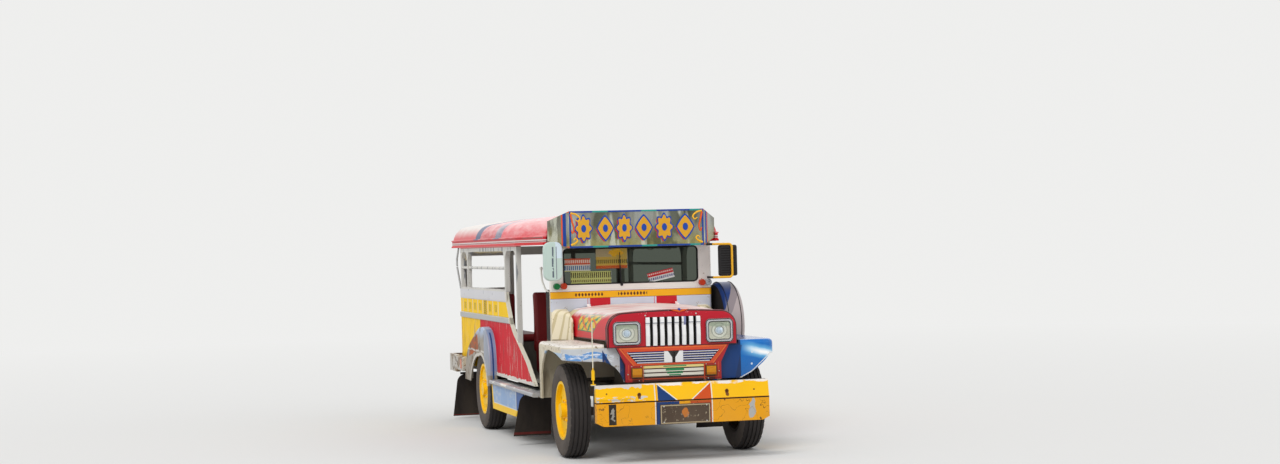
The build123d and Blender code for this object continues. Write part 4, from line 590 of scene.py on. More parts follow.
@material("b80824", 0.3, coat=0.1, spec=0.3, on="nose_panel")
def nose_paint(p, x, d, z, side):
    # The nose is painted a darker red than the hood, and its lower apron darker still; this darkening is painted
    # shade
    apron = z < 0.945
    p("b0121e", apron)
    p("d64a22", area(side, z, [(-0.01, 0.786), (0.336, 0.786), (0.452, 0.934), (-0.01, 0.934)]))
    p("e66e2c", stroke(side, z, [(0.0, 0.936), (0.462, 0.936), (0.345, 0.792)], 0.005))
    p("601e1a", (z < 0.693) & (side < 0.36))
    low = (z < 0.79) & (side < 0.262)
    p("4a201c", low)
    for z0, z1, colour in ((0.766, 0.786, "ecd88c"), (0.732, 0.756, "ece8da"), (0.698, 0.722, "ece8da")):
        p(colour, low & z.band(z0, z1))
    # Stacked green ornament in the middle of the three bars
    for half, z0, z1 in ((0.1, 0.774, 0.783), (0.08, 0.74, 0.762), (0.068, 0.716, 0.734), (0.052, 0.7, 0.71)):
        p("1a8a54", x.band(0.008 - half, 0.008 + half) & z.band(z0, z1))
    p("d64a22", side.band(0.262, 0.272) & (z < 0.79))
    p("ce4622", side.band(0.386, 0.394) & z.band(0.675, 0.8))
    p("ce4622", z.band(0.672, 0.68) & (side < 0.39))
    # Faces that turn partly forward get a darker red: painted shade on the rounded edges
    edge = (z > 0.95) & p.facing[1].band(-0.93, -0.3)
    p("420812", edge)
    p(DARK, d > -0.545, 0.6)
    p("3c0a10", (z > 0.945) & (z < 0.951))
    p.chips("e8beba", (z > 1.215) & (side < 0.3), 46.0, 0.62)
    p.fade(0.08).grime(0.18, 0.55, 1.1).dents()


@material("ececec", 0.32, coat=0.2, spec=0.4, on="grille")
def grille_paint(p, x, d, z, side):
    upper = z > 0.94
    # A grey line near the top is painted shade in a crease
    p("969aa4", upper & z.wobble(0.002, 20.0).band(1.138, 1.146))
    p("7a80a8", upper & x.band(0.092, 0.118) & (z > 1.12))
    # Bar sides behind the front plane are painted grey and their deeper parts near black: painted shade behind the
    # grille
    p("a0a4b0", upper & (d > -0.577))
    p("121014", upper & (d > -0.566), 0.8)
    mouth = z < 0.94
    step = z.repeat(0.806, 0.0202)
    p("20348e", mouth & step.band(0.0098, 0.0168) & (side > 0.083))
    p("d6cec4", mouth & step.band(0.0, 0.0062) & (side > 0.083))
    # Near black down the middle gap, in a patch above it and on the backs of the plates is painted shade of the dark
    # opening behind
    p("100e0e", mouth & ((side < 0.0135) | area(side, z, [(-0.01, 0.85), (0.013, 0.85), (0.052, 0.908),
                                                          (-0.01, 0.908)])))
    p("100e0e", mouth & (d > -0.562), 0.8)
    p.fade(0.06).grime(0.16, 0.6, 1.2)


@material("006cbe", 0.24, coat=0.2, spec=0.25, on="fender_left")
def fender_left_paint(p, x, d, z, side):
    p("002e60", x < 0.604, 0.5)
    front = d < -0.4
    # The bulge begins at a slanting line; inside it the paint is darker
    p("003876", front & left_of(x, z, (0.548, 0.64), (0.612, 0.905)) & (z < 0.93))
    p("004080", (z > 0.925) & (d > -0.44))
    # A broad soft painted highlight along a line that falls outwards
    line = abs(x.mad(0.25, z.wobble(0.012, 8.0)) - 1.066)
    outward = front & x.ramp(0.6, 0.7)
    p("78c4ec", outward & line.ramp(0.07, 0.02))
    p("ffffff", outward & line.ramp(0.036, 0.006) & x.ramp(0.6, 0.78))
    p("dee0e2", front & stroke(x, z, [(0.575, 0.645), (0.7, 0.706), (0.866, 0.853), (0.93, 0.853)], 0.004))
    for u, v in ((0.705, 0.868), (0.7, 0.768)):
        p("cedeec", front & spot(x, z, (u, v), (0.009, 0.009)))
    leg = (x > 0.7) & (d > 0.4) & (z < 0.8)
    p("e2dabe", leg)
    p("e2dabe", (side > 0.905) & (z < 0.8) & (d > 0.0))
    p.fade(0.05).grime(0.25, 0.4, 0.9).dents()


@material("d6ccb6", 0.42, spec=0.25, on="fender_right")
def fender_right_paint(p, x, d, z, side):
    # Pale top that is partly worn and partly painted highlight, cream side and leg, dark blue beside the nose, and a
    # scalloped blue and white front
    # The pale top is partly worn paint and partly a painted highlight
    p("eae4dc", z > 0.955)
    p.chips("b0a492", z > 0.92, 17.0, 0.58)
    front = (d < -0.37) & (z < 0.945)
    p("c4c8cc", front)
    tip = [(-0.93, 0.85), (-0.7, 0.833), (-0.64, 0.836), (-0.5, 0.785), (-0.421, 0.662)]
    wave = (x * 21.0).sine().mad(0.014, z)
    p("6098d6", front & wave.band(0.852, 0.905) & x.band(-0.905, -0.56))
    streaks = p.noise(16.0, 4.0, (1.0, 1.0, 3.0)).ramp(0.5, 0.62)
    p("e2e8f0", (front & wave.band(0.846, 0.912) & (x < -0.5)) * streaks)
    p("123870", (d < -0.37) & (x > -0.6) & (z < 0.945) & left_of(x, z, (-0.44, 0.66), (-0.6, 0.93)), 0.45)
    p("123870", (x > -0.452) & (d < -0.37), 0.45)
    p("969492", (d < -0.37) & stroke(x, z, tip, 0.005))
    side_face = (x < -0.905) & d.band(-0.4, 0.3) & (z < 0.93)
    p("aac4de", side_face & wave.band(0.86, 0.9))
    p("cec4aa", (x < -0.604) & (d > 0.4) & (z < 0.9))
    leg = (x < -0.604) & (d > 0.3) & (z < 0.93)
    streaks = p.noise(11.0, 6.0, (1.0, 1.0, 0.22), 0.6, 4.0).ramp(0.48, 0.6)
    p("9e8e74", leg * streaks * 0.7)
    p("ece8de", leg & (side > 0.925))
    p.chips("847054", None, 30.0, 0.62)
    p.fade(0.08).grime(0.4, 0.4, 0.95).dents()


@material("e8a00a", 0.42, spec=0.2, on="front_bumper")
def bumper_paint(p, x, d, z, side):
    p("f8be06", z > 0.52)
    left = side.band(0.238, 0.247)
    p("e2e2da", left & (z < 0.66) & (d < -0.8))
    inside = (side < 0.236) & (d < -0.8)
    blue = "043670"
    ragged = z.wobble(0.012, 24.0)
    p(blue, inside & area(x, ragged, [(-0.222, 0.513), (-0.06, 0.512), (-0.222, 0.645)]))
    p("e2e2da", inside & (z > 0.512) & stroke(x, z, [(-0.222, 0.65), (-0.052, 0.508)], 0.004))
    p("cc4c16", inside & area(x, z, [(0.069, 0.512), (0.236, 0.512), (0.236, 0.645)]))
    p("e2e2da", inside & (z > 0.512) & stroke(x, z, [(0.236, 0.65), (0.06, 0.508)], 0.004))
    p(blue, inside & x.band(-0.236, -0.041) & (z < 0.504))
    p("ba4c1c", inside & (x > 0.053) & (z < 0.504))
    black = x.band(-0.638, -0.575) & (z < 0.5) & (z > 0.33)
    p("26221c", black)
    p("96928a", black & spot(x.wobble(0.03, 30.0), z.wobble(0.06, 22.0), (-0.606, 0.42), (0.012, 0.05)))
    # Pale top edge that is partly worn paint and partly painted highlight, bare patches, dark cracks and rust round
    # the holes
    top = z.wobble(0.034, 7.0) > 0.64
    worn = p.noise(6.0, 4.0, shift=6.0).ramp(0.4, 0.47)
    p("eee6de", top * worn)
    p("d6d0c8", (x < -0.35) & (z.wobble(0.05, 9.0, 2.0) > 0.628))
    p("ceccc4", (z < 0.56) & (z > 0.51) & (x < -0.3) & (p.noise(19.0, 4.0, (1.0, 1.0, 2.0)) > 0.56))
    p("b0b0ac", spot(x.wobble(0.05, 17.0), z.wobble(0.06, 12.0, 4.0), (0.59, 0.42), (0.03, 0.075)))
    cracks = p.noise(7.0, 2.0, shift=9.0).band(0.4975, 0.5025)
    p("462c14", cracks & (z < 0.5), 0.8)
    for u, v in ((-0.375, 0.57), (0.375, 0.57)):
        p("784618", spot(x.wobble(0.02, 30.0), z.wobble(0.03, 24.0), (u, v - 0.006), (0.017, 0.026)))
    p("302010", z.band(0.505, 0.516), 0.8)
    p.chips("403222", (side > 0.62) & (z < 0.5), 26.0, 0.6)
    p.chips("685432", z < 0.52, 13.0, 0.665)
    p("2e2a26", d > -0.79, 0.8)
    p.fade(0.09).grime(0.16, 0.3, 0.7).dents(0.005, 5.0)


@material("ffce00", 0.5, spec=0.06, on="body_sides")
def body_side_paint(p, x, d, z, side):
    outer = side > 0.869
    upper = outer & (z > 1.286)
    p("dadade", upper)
    # Grey streaks on the white upper panel are painted shade
    p("acaeb4", upper & (p.noise(14.0, 4.0, (1.0, 1.0, 0.6)) > 0.66))
    # Yellow band with upright separators, small paired strokes and a dark woven strip
    band = outer & z.band(*BELT)
    p("ffd000", band)
    for middle in (2.857, 3.136, 3.422, 3.717, 4.02, 4.32, 4.62, 2.57):
        p("e0e0da", band & d.band(middle - 0.012, middle + 0.012))
    for middle in (2.7, 3.0, 3.57, 3.87, 4.17, 4.47):
        pair = d.band(middle - 0.045, middle - 0.02) | d.band(middle + 0.02, middle + 0.045)
        p("766832", band & pair & z.band(1.178, 1.25))
    woven = z.mad(300.0, d * 90.0).sine() > -0.1
    p("605424", band & d.band(3.2, 3.36) & woven)
    p(SILVER, outer & z.band(1.083, 1.1425), 0.34, 0.75)
    lower = outer & (z < 1.0845)
    p("d60c26", lower & (d.wobble(0.01, 6.0) < 3.6))
    scrapes = p.noise(20.0, 5.0, (1.0, 1.6, 0.14)).ramp(0.56, 0.64)
    p("84544e", scrapes * lower * 0.7, 0.6)
    scrapes = p.noise(34.0, 5.0, (1.0, 1.6, 0.1), shift=5.0).ramp(0.62, 0.66)
    p("d6beba", scrapes * lower, 0.6)
    p("e2ded8", outer & (z.wobble(0.02, 9.0) < 0.592))
    p("e4ded0", outer & stroke(d, z, [(u + 0.015, v) for u, v in SIDE_FRONT], 0.02))
    p("e8e2d0", (side > 0.86) & (p.facing[1] < -0.25))
    p("78746a", side < 0.8705, 0.6)
    p.fade(0.06).grime(0.12, 0.5, 1.1, "968064").dents(0.005, 2.5)


@material("9e968a", 0.42, 0.35, spec=0.2, on="wheel_flares")
def flare_paint(p, x, d, z, side):
    # Bare, dented metal with a rusty worn field and a pale ridge; its bluish crown and light-blue front wall are
    # painted highlights
    # The bluish crown is a painted highlight where the top faces the sky
    p("b0c2dc", z.wobble(0.03, 6.0).ramp(0.9, 0.98), metal=0.2)
    worn = area(d.wobble(0.05, 8.0), z.wobble(0.03, 8.0, 2.0), [(3.26, 0.79), (3.82, 0.7), (3.74, 0.865),
                                                                (3.3, 0.95)])
    p("9c542c", worn * 0.85, 0.7, 0.0)
    p.chips("c45c2c", worn, 30.0, 0.52)
    p("cecac4", z.wobble(0.02, 5.0).band(0.772, 0.79))
    p("68543e", p.noise(8.0, 6.0, shift=2.0).ramp(0.54, 0.62) * 0.7, 0.7, 0.0)
    # The light-blue front wall is a painted highlight where it faces the light
    front = d < 2.95
    p("9ea6b6", front & (z > 0.56), metal=0.3)
    p("869ec4", front & side.band(0.905, 0.962) & (z > 0.6), metal=0.2)
    p("284e8a", front & side.band(0.928, 0.945) & (z < 0.975))
    p("d2cec6", (side > 0.9855) & (z > 0.45))
    p.fade(0.12, 4.0).grime(0.35, 0.45, 1.0).dents(0.008, 4.0)


@material("b0b2b6", 0.4, 0.5, spec=0.2, on="side_steps")
def step_paint(p, x, d, z, side):
    p("ece8de", (z > 0.5) & (p.noise(8.0, 5.0, (1.0, 0.3, 1.0)) > 0.56))
    skirt = (z < 0.4805) & (side > 0.93)
    p("8eaed8", skirt, 0.45, 0.0)
    worn = p.noise(9.0, 6.0, (1.0, 0.5, 1.6), 0.65).ramp(0.48, 0.62)
    p("c4ccd6", worn * skirt * 0.75)
    p("18549c", skirt & (d < 1.46), metal=0.0)
    p("e2e2dc", skirt & d.band(1.46, 1.485))
    seams = d.band(1.86, 1.875) | d.band(2.24, 2.25)
    p("becee2", skirt & seams)
    tail = left_of(d, z, (2.58, 0.24), (2.66, 0.46))
    yellow = skirt & (d > 1.4) & ((z < 0.305) | (d > 2.5) & (1.0 - tail))
    p("ffce00", yellow)
    p("e2ded2", skirt & z.band(0.303, 0.311) & d.band(1.42, 2.6))
    p("34302e", side < 0.83, 0.8, 0.0)
    p.chips("78644a", z > 0.47, 18.0, 0.62)
    p.fade(0.1, 5.0).grime(0.1, 0.2, 0.8).dents(0.004, 6.0)


@material("e2dad4", 0.42, spec=0.2, on="roof")
def roof_paint(p, x, d, z, side):
    top = z > 1.889
    line = d.wobble(0.02, 2.0)
    slate = "566284"
    p("e84a54", top & (line < 2.3))
    p(slate, top & line.band(2.3, 2.62))
    p("ce2234", top & line.band(2.62, 3.45))
    p(slate, top & line.band(3.45, 3.72))
    # The pale overlay is painted glare along the crown mixed with real scuffs
    glare = z.wobble(0.05, 4.0).ramp(1.93, 2.06)
    scuffs = p.noise(13.0, 7.0, (1.0, 0.22, 1.0), 0.65).ramp(0.4, 0.66)
    worn = glare.mad(0.5, scuffs * 0.36)
    p("fae6e6", (top & (line < 3.45)) * worn)
    # Behind the rear stripe the red goes on the lower parts only; the pale crown left there is painted highlight
    low = z.wobble(0.03, 4.0, 7.0).ramp(2.02, 1.925)
    p("dc3442", (top & (line > 3.72) & low) * 0.85)
    p("ce222e", z.band(1.872, 1.892))
    p("e2d6d4", z.band(1.86, 1.872))
    p("961822", z.band(1.853, 1.86))
    p("d6d0ce", z.band(1.847, 1.853))
    p("d61622", z.band(1.82, 1.847))
    p("cecac4", z < 1.8215)
    p("888074", (p.facing[2] < -0.2) & (side < 0.895))
    p.fade(0.06, 1.2).dents(0.005, 1.5)


@material("767466", 0.24, 0.9, on="visor")
def visor_steel_mat(p, x, d, z, side):
    streaks = p.noise(5.0, 4.0, (1.0, 1.0, 0.22)).ramp(0.4, 0.62)
    p("b2b6b2", streaks * 0.8)
    # The olive lower half, the dark olive patches and the pale patches are painted reflections in the steel
    p("a69e54", z.wobble(0.12, 3.5, 5.0).ramp(1.99, 1.82) * 0.7)
    p("464a36", p.noise(4.5, 4.0, (1.0, 1.0, 0.6), shift=4.0).ramp(0.5, 0.6) * 0.75)
    p("d6d8c8", p.noise(6.0, 4.0, (1.6, 1.0, 0.4), shift=9.0).ramp(0.58, 0.66) * 0.7)
    p.bump(p.noise(60.0, 2.0, (0.15, 1.0, 3.0)), 0.0006)
    face = d < 0.5545
    edge = face & ((side > 0.602) | (z > 2.097) | (z < 1.801))
    p("144094", edge, 0.35, 0.0)
    p("2c948c", edge & (side < 0.585) & ((x * 14.0).sine() > 0.55), 0.35, 0.0)
    wing = d > 0.5545
    p("144094", wing & side.band(0.64, 0.664), 0.35, 0.0)
    p("e05622", wing & ((z > 2.1) | side.band(0.664, 0.674)), 0.4, 0.0)
    p("d65422", wing & (side > 0.6) & (z < 1.8), 0.4, 0.0)
    p("5c5a54", p.facing[1] > 0.5, 0.6, 0.2)
    p.dents(0.003, 3.0)


@material("d6d0be", 0.4, on="corner_pole")
def yellow_pole_mat(p, x, d, z, side):
    p("f4be10", z.band(0.66, 0.8))
    p.fade(0.06)


@material("d6d4ce", 0.42, spec=0.2, on="window_frames")
def window_frame_mat(p, x, d, z, side):
    # Blue-grey streaks on the posts are painted shade
    p("96989c", (z > 1.4) & (p.noise(9.0, 5.0, (1.0, 1.0, 0.2)) > 0.58))
    p("ce1622", z > 1.812)
    p.fade(0.08).grime(0.25, 0.8, 1.6).chips("786854", None, 34.0, 0.66)


@material("f2ece6", 0.42, spec=0.2, on="windshield_frame")
def shield_frame_mat(p, x, d, z, side):
    p("cec0ac", z > 1.785)
    p.fade(0.06).grime(0.1, 0.8, 1.7).chips("96785a", side > 0.62, 30.0, 0.62)


@material("dedcd6", 0.42, spec=0.2, on="rear_portal")
def portal_mat(p, x, d, z, side):
    jamb = side > 0.36
    p("f6c00a", jamb & z.band(*BELT))
    p("f6c00a", jamb & z.band(0.6, 1.083))
    p("be0e24", jamb & z.band(0.7, 0.84))
    p(SILVER, jamb & z.band(1.083, 1.143), 0.34, 0.75)
    p.fade(0.08).grime(0.3, 0.5, 1.4)


@material("221e1e", 0.8, spec=0.15, on="mud_flaps")
def flap_mat(p, x, d, z, side):
    strip = (d < 2.0) & z.band(0.104, 0.126)
    strip = strip | (d > 2.0) & z.band(0.038, 0.048)
    # The red strip goes on the right flaps only; the left ones are left dark as painted shade
    p("601618", strip & (x < 0.0))
    p.fade(0.2).grime(0.18, 0.1, 0.7).bump(p.noise(30.0, 4.0), 0.001)


@material("1a3670", 0.34, spec=0.3, on="spare_wheel")
def spare_cover_mat(p, x, d, z, side):
    # Dark blue crown over a broad grey and white sweep
    p("a8aab0", spot(d - 0.915, z, (0.1, 0.86), (0.52, 0.44)))
    p("ceced0", spot(d - 0.915, z, (0.12, 0.8), (0.4, 0.34)))
    line = side.mad(1.9, z * -1.0)
    edge = line.wobble(0.02, 6.0) > 0.335
    p("8c8286", edge & (side > 0.8))
    p("aca0a0", edge & (line.wobble(0.02, 6.0) > 0.47) & (side > 0.8))
    reach = distance(d, z, (0.915, 1.062))
    p("142c60", (side > 0.986) & reach.band(0.262, 0.318))
    p("cec8c4", (side > 0.986) & (reach.band(0.254, 0.262) | reach.band(0.318, 0.326)))
    p("141214", side < 0.8, 0.8)
    p.fade(0.1).grime(0.25, 0.5, 1.2).dents()


@material("bcd0c8", 0.35, spec=0.4, on="mirrors")
def mirror_mat(p, x, d, z, side):
    p("141214", x > 0.0, 0.55)
    p("ecb01e", (x > 0.0) & (d < 0.6372), 0.4)
    spine = (x < 0.0) & x.wobble(0.006, 12.0).band(-0.775, -0.76) & z.band(1.53, 1.8)
    p("56606c", spine & (p.noise(30.0, 3.0) > 0.42))
    p("cedee8", (x < 0.0) & (x > -0.742) & (z > 1.7))
    arm = (x < 0.0) & stroke(x, z.wobble(0.004, 20.0), [(-0.735, 1.52), (-0.735, 1.8)], 0.004)
    p("7a848a", arm)
    p.fade(0.07)


@material("bec0c4", 0.18, 0.9, on="lamps")
def lamp_mat(p, x, d, z, side):
    low = (z < 0.8) & (d < 0.0)
    p("785424", low, 0.4, 0.3)
    lens = low & side.band(0.282, 0.362) & z.band(0.698, 0.766) & (d < -0.585)
    p("e29622", lens, 0.2, 0.0)
    p("ca781a", lens & (z < 0.716))
    markers = (z > 1.4) & (d < 2.0)
    p("c43a1a", markers, 0.25, 0.0)
    p("187a40", markers & (x < -0.66), 0.25, 0.0)
    p("ced2d6", markers & (x > 0.684), 0.2, 0.8)
    tail = d > 4.0
    p("aa0e12", tail, 0.25, 0.0)
    p("e27814", tail & (z < 0.955), 0.25, 0.0)
    p.bump((z * 900.0).sine(), 0.0008)
    p.fade(0.06)


def coat_rims(name, nodes):
    p = Paint(name, "ffcc00", 0.4, spec=0.2)
    p.chips("96641e", None, 40.0, 0.66)
    # The inner parts of the rims are painted near black: painted shade inside the wheels
    p("24201c", (p.side < 0.775) | ((p.d > 2.0) & (p.side < 0.885)), 0.8)
    dress(nodes, p.fade(0.07, 6.0).grime(0.22, 0.15, 0.7).done())


coat_rims("rim_paint_front", "rim_front_left rim_front_right")
coat_rims("rim_paint_rear", "rim_rear_left rim_rear_right")
# The glass is tinted near black: painted shade for the dark cab seen through it
windshield = glass("glass_mat", (0.09, 0.105, 0.085, 1.0))
for corners in BOARDS:
    windshield((0.97, 0.98, 0.97, 1.0), area(windshield.x, windshield.z, corners))
dress("windshield_glass", windshield.bump(windshield.noise(2.0, 2.0), 0.0004).done())

# Tyres: a lathed profile with grooves, notched at its shoulders
TYRE_R = 0.402
TREAD_GROOVES = [-0.054, -0.018, 0.018, 0.054]
GROOVE_HALF = 0.0045
GROOVE_DEPTH = 0.01
GROOVE_FLANK = 0.0015
NOTCH = 0.007
BEAD = [(-0.063, 0.2402), (0.063, 0.2402)]


def tyre_profile():
    points = [(0.063, 0.2402), (0.072, 0.243), (0.086, 0.259), (0.094, 0.281), (0.0985, 0.303), (0.1, 0.322),
              (0.0985, 0.345), (0.0935, 0.366), (0.0905, 0.3795), (0.0835, 0.3895)]
    tread = []
    for groove in reversed(TREAD_GROOVES):
        for x, depth in ((groove + GROOVE_HALF + GROOVE_FLANK, 0.0), (groove + GROOVE_HALF, GROOVE_DEPTH),
                         (groove - GROOVE_HALF, GROOVE_DEPTH), (groove - GROOVE_HALF - GROOVE_FLANK, 0.0)):
            crown = TYRE_R - 0.01 * (abs(x) / 0.08) ** 2.2
            tread.append((x, crown - depth))
    return points + tread + [(-u, r) for u, r in reversed(points)]


def notched(index, step, radius):
    mirrored = len(TYRE_PROFILE) - 1 - index
    return radius - NOTCH if step % 4 == 0 and (index in (8, 9) or mirrored in (8, 9)) else radius


TYRE_PROFILE = tyre_profile()
for end, axle in (("front", 0.0), ("rear", WHEELBASE)):
    p = Paint("tyre_mat_" + end, "504a46", 0.85)
    tread = distance(p.d, p.z, (axle, TYRE_R)) > 0.384
    p("68605a", p.noise(5.0, 5.0).ramp(0.3, 0.7) * 0.75)
    # The tread is painted darker than the dusty sidewalls: painted shade
    p("2e2b2b", tread * 0.85)
    tyre_mat = p.fade(0.15, 9.0).bump(p.noise(140.0, 3.0), 0.0008).done()
    for corner in (end + "_left", end + "_right"):
        lo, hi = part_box("tyre_" + corner)
        shape = Shape().lathe(TYRE_PROFILE, (lo + hi) / 2, (1, 0, 0), 144, radius_of=notched)
        shape.lathe(BEAD, (lo + hi) / 2, (1, 0, 0), 144)
        tyre = shape.piece(f"tyre_{corner}_rubber", "tyre_rubber", tyre_mat, body="wheel_" + corner, smooth=28.0)
        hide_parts("tyre_" + corner)


# Seats: closed pads, pressed in at their seams
SEAM_DEPTH = 0.01
SEAM_WIDTH = 0.012
DRAWN_IN = 0.008
SEAM_PULL = 0.004


def press(p, half, up, seams, crown):
    """Crowns a point of a pad towards up, an axis and its sign, and draws the pad's sides in."""
    axis, sign = up
    flat = [a for a in (0, 1, 2) if a != axis]
    share = [p[a] / half[a] for a in flat]
    swell = (1 - share[0] ** 2) * (1 - share[1] ** 4)
    rise = (p[axis] * sign / half[axis] + 1) / 2
    dip = min(sum(math.exp(-((p[a] - s) / SEAM_WIDTH) ** 2) for a, s in seams), 1.0)
    for a, other in (flat, reversed(flat)):
        pull = DRAWN_IN * (p[a] / half[a]) ** 3 * (1 - min(1.0, (p[other] / half[other]) ** 2))
        p[a] -= pull + SEAM_PULL * (p[a] / half[a]) ** 5 * dip
    p[axis] += sign * rise * (crown * swell - SEAM_DEPTH * dip) - sign * rise * crown
    return p


def cushion(lo, hi, up, seams, cells, crown=0.018, corner=0.03):
    middle, half = (lo + hi) / 2, (hi - lo) / 2
    shape = Shape()
    for face_axis in (0, 1, 2):
        u_axis, v_axis = [a for a in (0, 1, 2) if a != face_axis]
        for side in (-1, 1):
            rows = []
            for i in range(cells[u_axis] + 1):
                row = []
                for j in range(cells[v_axis] + 1):
                    p = Vector((0, 0, 0))
                    p[face_axis] = side * half[face_axis]
                    p[u_axis] = (2 * i / cells[u_axis] - 1) * half[u_axis]
                    p[v_axis] = (2 * j / cells[v_axis] - 1) * half[v_axis]
                    core = Vector([max(-half[a] + corner, min(half[a] - corner, p[a])) for a in (0, 1, 2)])
                    out = p - core
                    p = core + out.normalized() * corner if out.length > 1e-9 else p
                    row.append(middle + press(p, half, up, seams, crown))
                rows.append(row)
            shape.grid(rows[::-1] if (side > 0) == (face_axis == 1) else rows)
    return shape


vinyl = Paint("seat_vinyl_mat", "701a1c", 0.45, coat=0.1)
vinyl = vinyl.fade(0.15, 5.0).bump(vinyl.noise(260.0, 3.0), 0.0006).done()
FRONT_SEAMS = [(0, x) for x in (-0.56, -0.42, -0.28, -0.14, 0.0, 0.14, 0.28, 0.42, 0.56)]
BENCH_SEAMS = [(1, -1.22 + 0.1627 * n) for n in range(1, 15)]
PADS = [
    ("front_seat_cushion", cushion(at(-0.7, 1.33, 0.6203), at(0.7, 1.78, 0.95), (2, 1), FRONT_SEAMS,
                                   (120, 24, 10), 0.02, 0.035)),
    ("front_seat_back", cushion(at(-0.7, 1.7803, 0.82), at(0.7, 1.88, 1.38), (1, -1), FRONT_SEAMS,
                                (120, 8, 24), 0.02)),
]
for side, name in SIDES:
    x0, x1 = span(side, 0.52, 0.8697)
    shape = cushion(at(x0, 2.2, 0.9003), at(x1, 4.64, 0.99), (2, 1), BENCH_SEAMS, (12, 150, 6))
    PADS.append(("bench_cushion_" + name, shape))
    x0, x1 = span(side, 0.7797, 0.8697)
    shape = cushion(at(x0, 2.2, 0.9903), at(x1, 4.64, 1.365), (0, -side), BENCH_SEAMS, (6, 150, 14))
    PADS.append(("bench_back_" + name, shape))
for name, shape in PADS:
    seat = shape.piece(name, "seat_vinyl", vinyl, smooth=60)
    if name == "front_seat_cushion":
        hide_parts("seats")


# Rolled canvas curtains under the window headers
ROLL_X = 0.8127
ROLL_Z = 1.7975
ROLL_TURNS = 3.05
ROLL_FRONT = 2.24
ROLL_LENGTH = 1.99
ROLL_RADIUS = 0.04
TIE_RADIUS = 0.0445


@material("d6c8a4", 0.85)
def canvas_mat(p, x, d, z, side):
    weave = (d * 2400.0).sine() * (z * 2400.0).sine()
    p.fade(0.14, 6.0).bump(weave, 0.0005)


for side, name in SIDES:
    rows = []
    for step in range(73):
        turn = step / 72
        radius = ROLL_RADIUS - 0.028 * turn
        angle = math.pi / 2 - side * 2 * math.pi * ROLL_TURNS * turn
        row = []
        for cell in range(33):
            out = radius + 0.003 * math.sin(cell * 1.9 + 2.1 * turn)
            row.append(at(side * ROLL_X + out * math.cos(angle), ROLL_FRONT + ROLL_LENGTH * cell / 32,
                          ROLL_Z + out * math.sin(angle)))
        rows.append(row)
    curtain = Shape().grid(rows).piece("curtain_" + name, "curtain_cloth", canvas_mat, smooth=70)
    if side > 0:
        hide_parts("curtains")
    straps = Shape()
    for d in (2.5, 3.2, 3.95):
        straps.tube(upright(circle(side * ROLL_X, ROLL_Z - 0.001, TIE_RADIUS, 24), 0, d, 0), 0.0035, closed=True)
    strap = straps.piece("curtain_ties_" + name, "curtain_cloth", canvas_mat)

# Visor ornaments: six generic pressed plates in place of lettering
gold_mat = plain("gold_mat", "dea430", 0.3, 0.5)
blue_line = plain("blue_line_mat", "1846a0", 0.4)
red_shadow = plain("red_shadow_mat", "be2822", 0.4)
ORNAMENTS = [
    # middle x, half width, kind
    (-0.488, 0.074, "rosette"), (-0.29, 0.076, "lozenge"), (-0.116, 0.07, "rosette"),
    (0.064, 0.078, "lozenge"), (0.252, 0.078, "rosette"), (0.446, 0.082, "lozenge"),
]
ORNAMENT_LAYERS = [
    # shift, growth, start and end in front of the visor's face, material
    (-0.012, 0.06, 0.0, 0.0025, 2), (0.0, 0.16, 0.002, 0.0045, 1), (0.0, 0.0, 0.004, 0.0075, 0),
]
ORNAMENT_Z = 1.955
ORNAMENT_HALF = 0.112
ORNAMENT_SIZE = 0.86
VISOR_FACE = 0.555


def ornament_outline(kind, grow):
    points = []
    for step in range(48):
        turn = 2 * math.pi * step / 48
        if kind == "rosette":
            radius = 1.0 + 0.16 * math.cos(8 * turn)
        else:
            radius = 1.05 / (abs(math.cos(turn)) ** 1.15 + abs(math.sin(turn)) ** 1.15) ** (1 / 1.15)
        points.append((radius * math.cos(turn) * ORNAMENT_SIZE + grow * math.cos(turn),
                       radius * math.sin(turn) * ORNAMENT_SIZE + grow * math.sin(turn)))
    return points


def on_visor(shape, outline, start, end, mark):
    shape.prism(outline[::-1], lambda u, v, last: at(u, VISOR_FACE - (end if last else start), v), mark)


ornaments = Shape()
for x, half, kind in ORNAMENTS:
    for shift, grow, start, end, mark in ORNAMENT_LAYERS:
        outline = [(x + shift + u * half, ORNAMENT_Z + shift + v * ORNAMENT_HALF)
                   for u, v in ornament_outline(kind, grow)]
        on_visor(ornaments, outline, start, end, mark)
    on_visor(ornaments, circle(x, ORNAMENT_Z, 0.3 * half, 24, 0.3 * ORNAMENT_HALF), 0.007, 0.0105, 1)
ornaments.piece("visor_ornaments", "visor_steel", gold_mat, blue_line, red_shadow, bevel=0.001)

# Materials of the small pieces
rubber_mat = plain("rubber_mat", "181616", 0.75, dirt=0.1, spec=0.2)
screw_mat = plain("screw_mat", "bebeba", 0.3, 0.8, dirt=0.1)
rust_mat = plain("rust_mat", "704222", 0.85, 0.1, dirt=0.1)
orange_mat = plain("orange_mat", "e4601e", 0.4)
ribbon_mat = plain("ribbon_mat", "f6ba28", 0.4)
bulb_mat = plain("bulb_mat", "cedef0", 0.16, 0.3)
wiper_mat = plain("wiper_mat", "222224", 0.5, dirt=0.1)
handle_mat = plain("handle_mat", "dedcd4", 0.35, dirt=0.1)
amber_mat = plain("amber_reflector_mat", "ce6028", 0.25, dirt=0.1)
red_mat = plain("red_reflector_mat", "b01014", 0.25, dirt=0.1)
LAMP_X = 0.402
LAMP_Z = 1.063


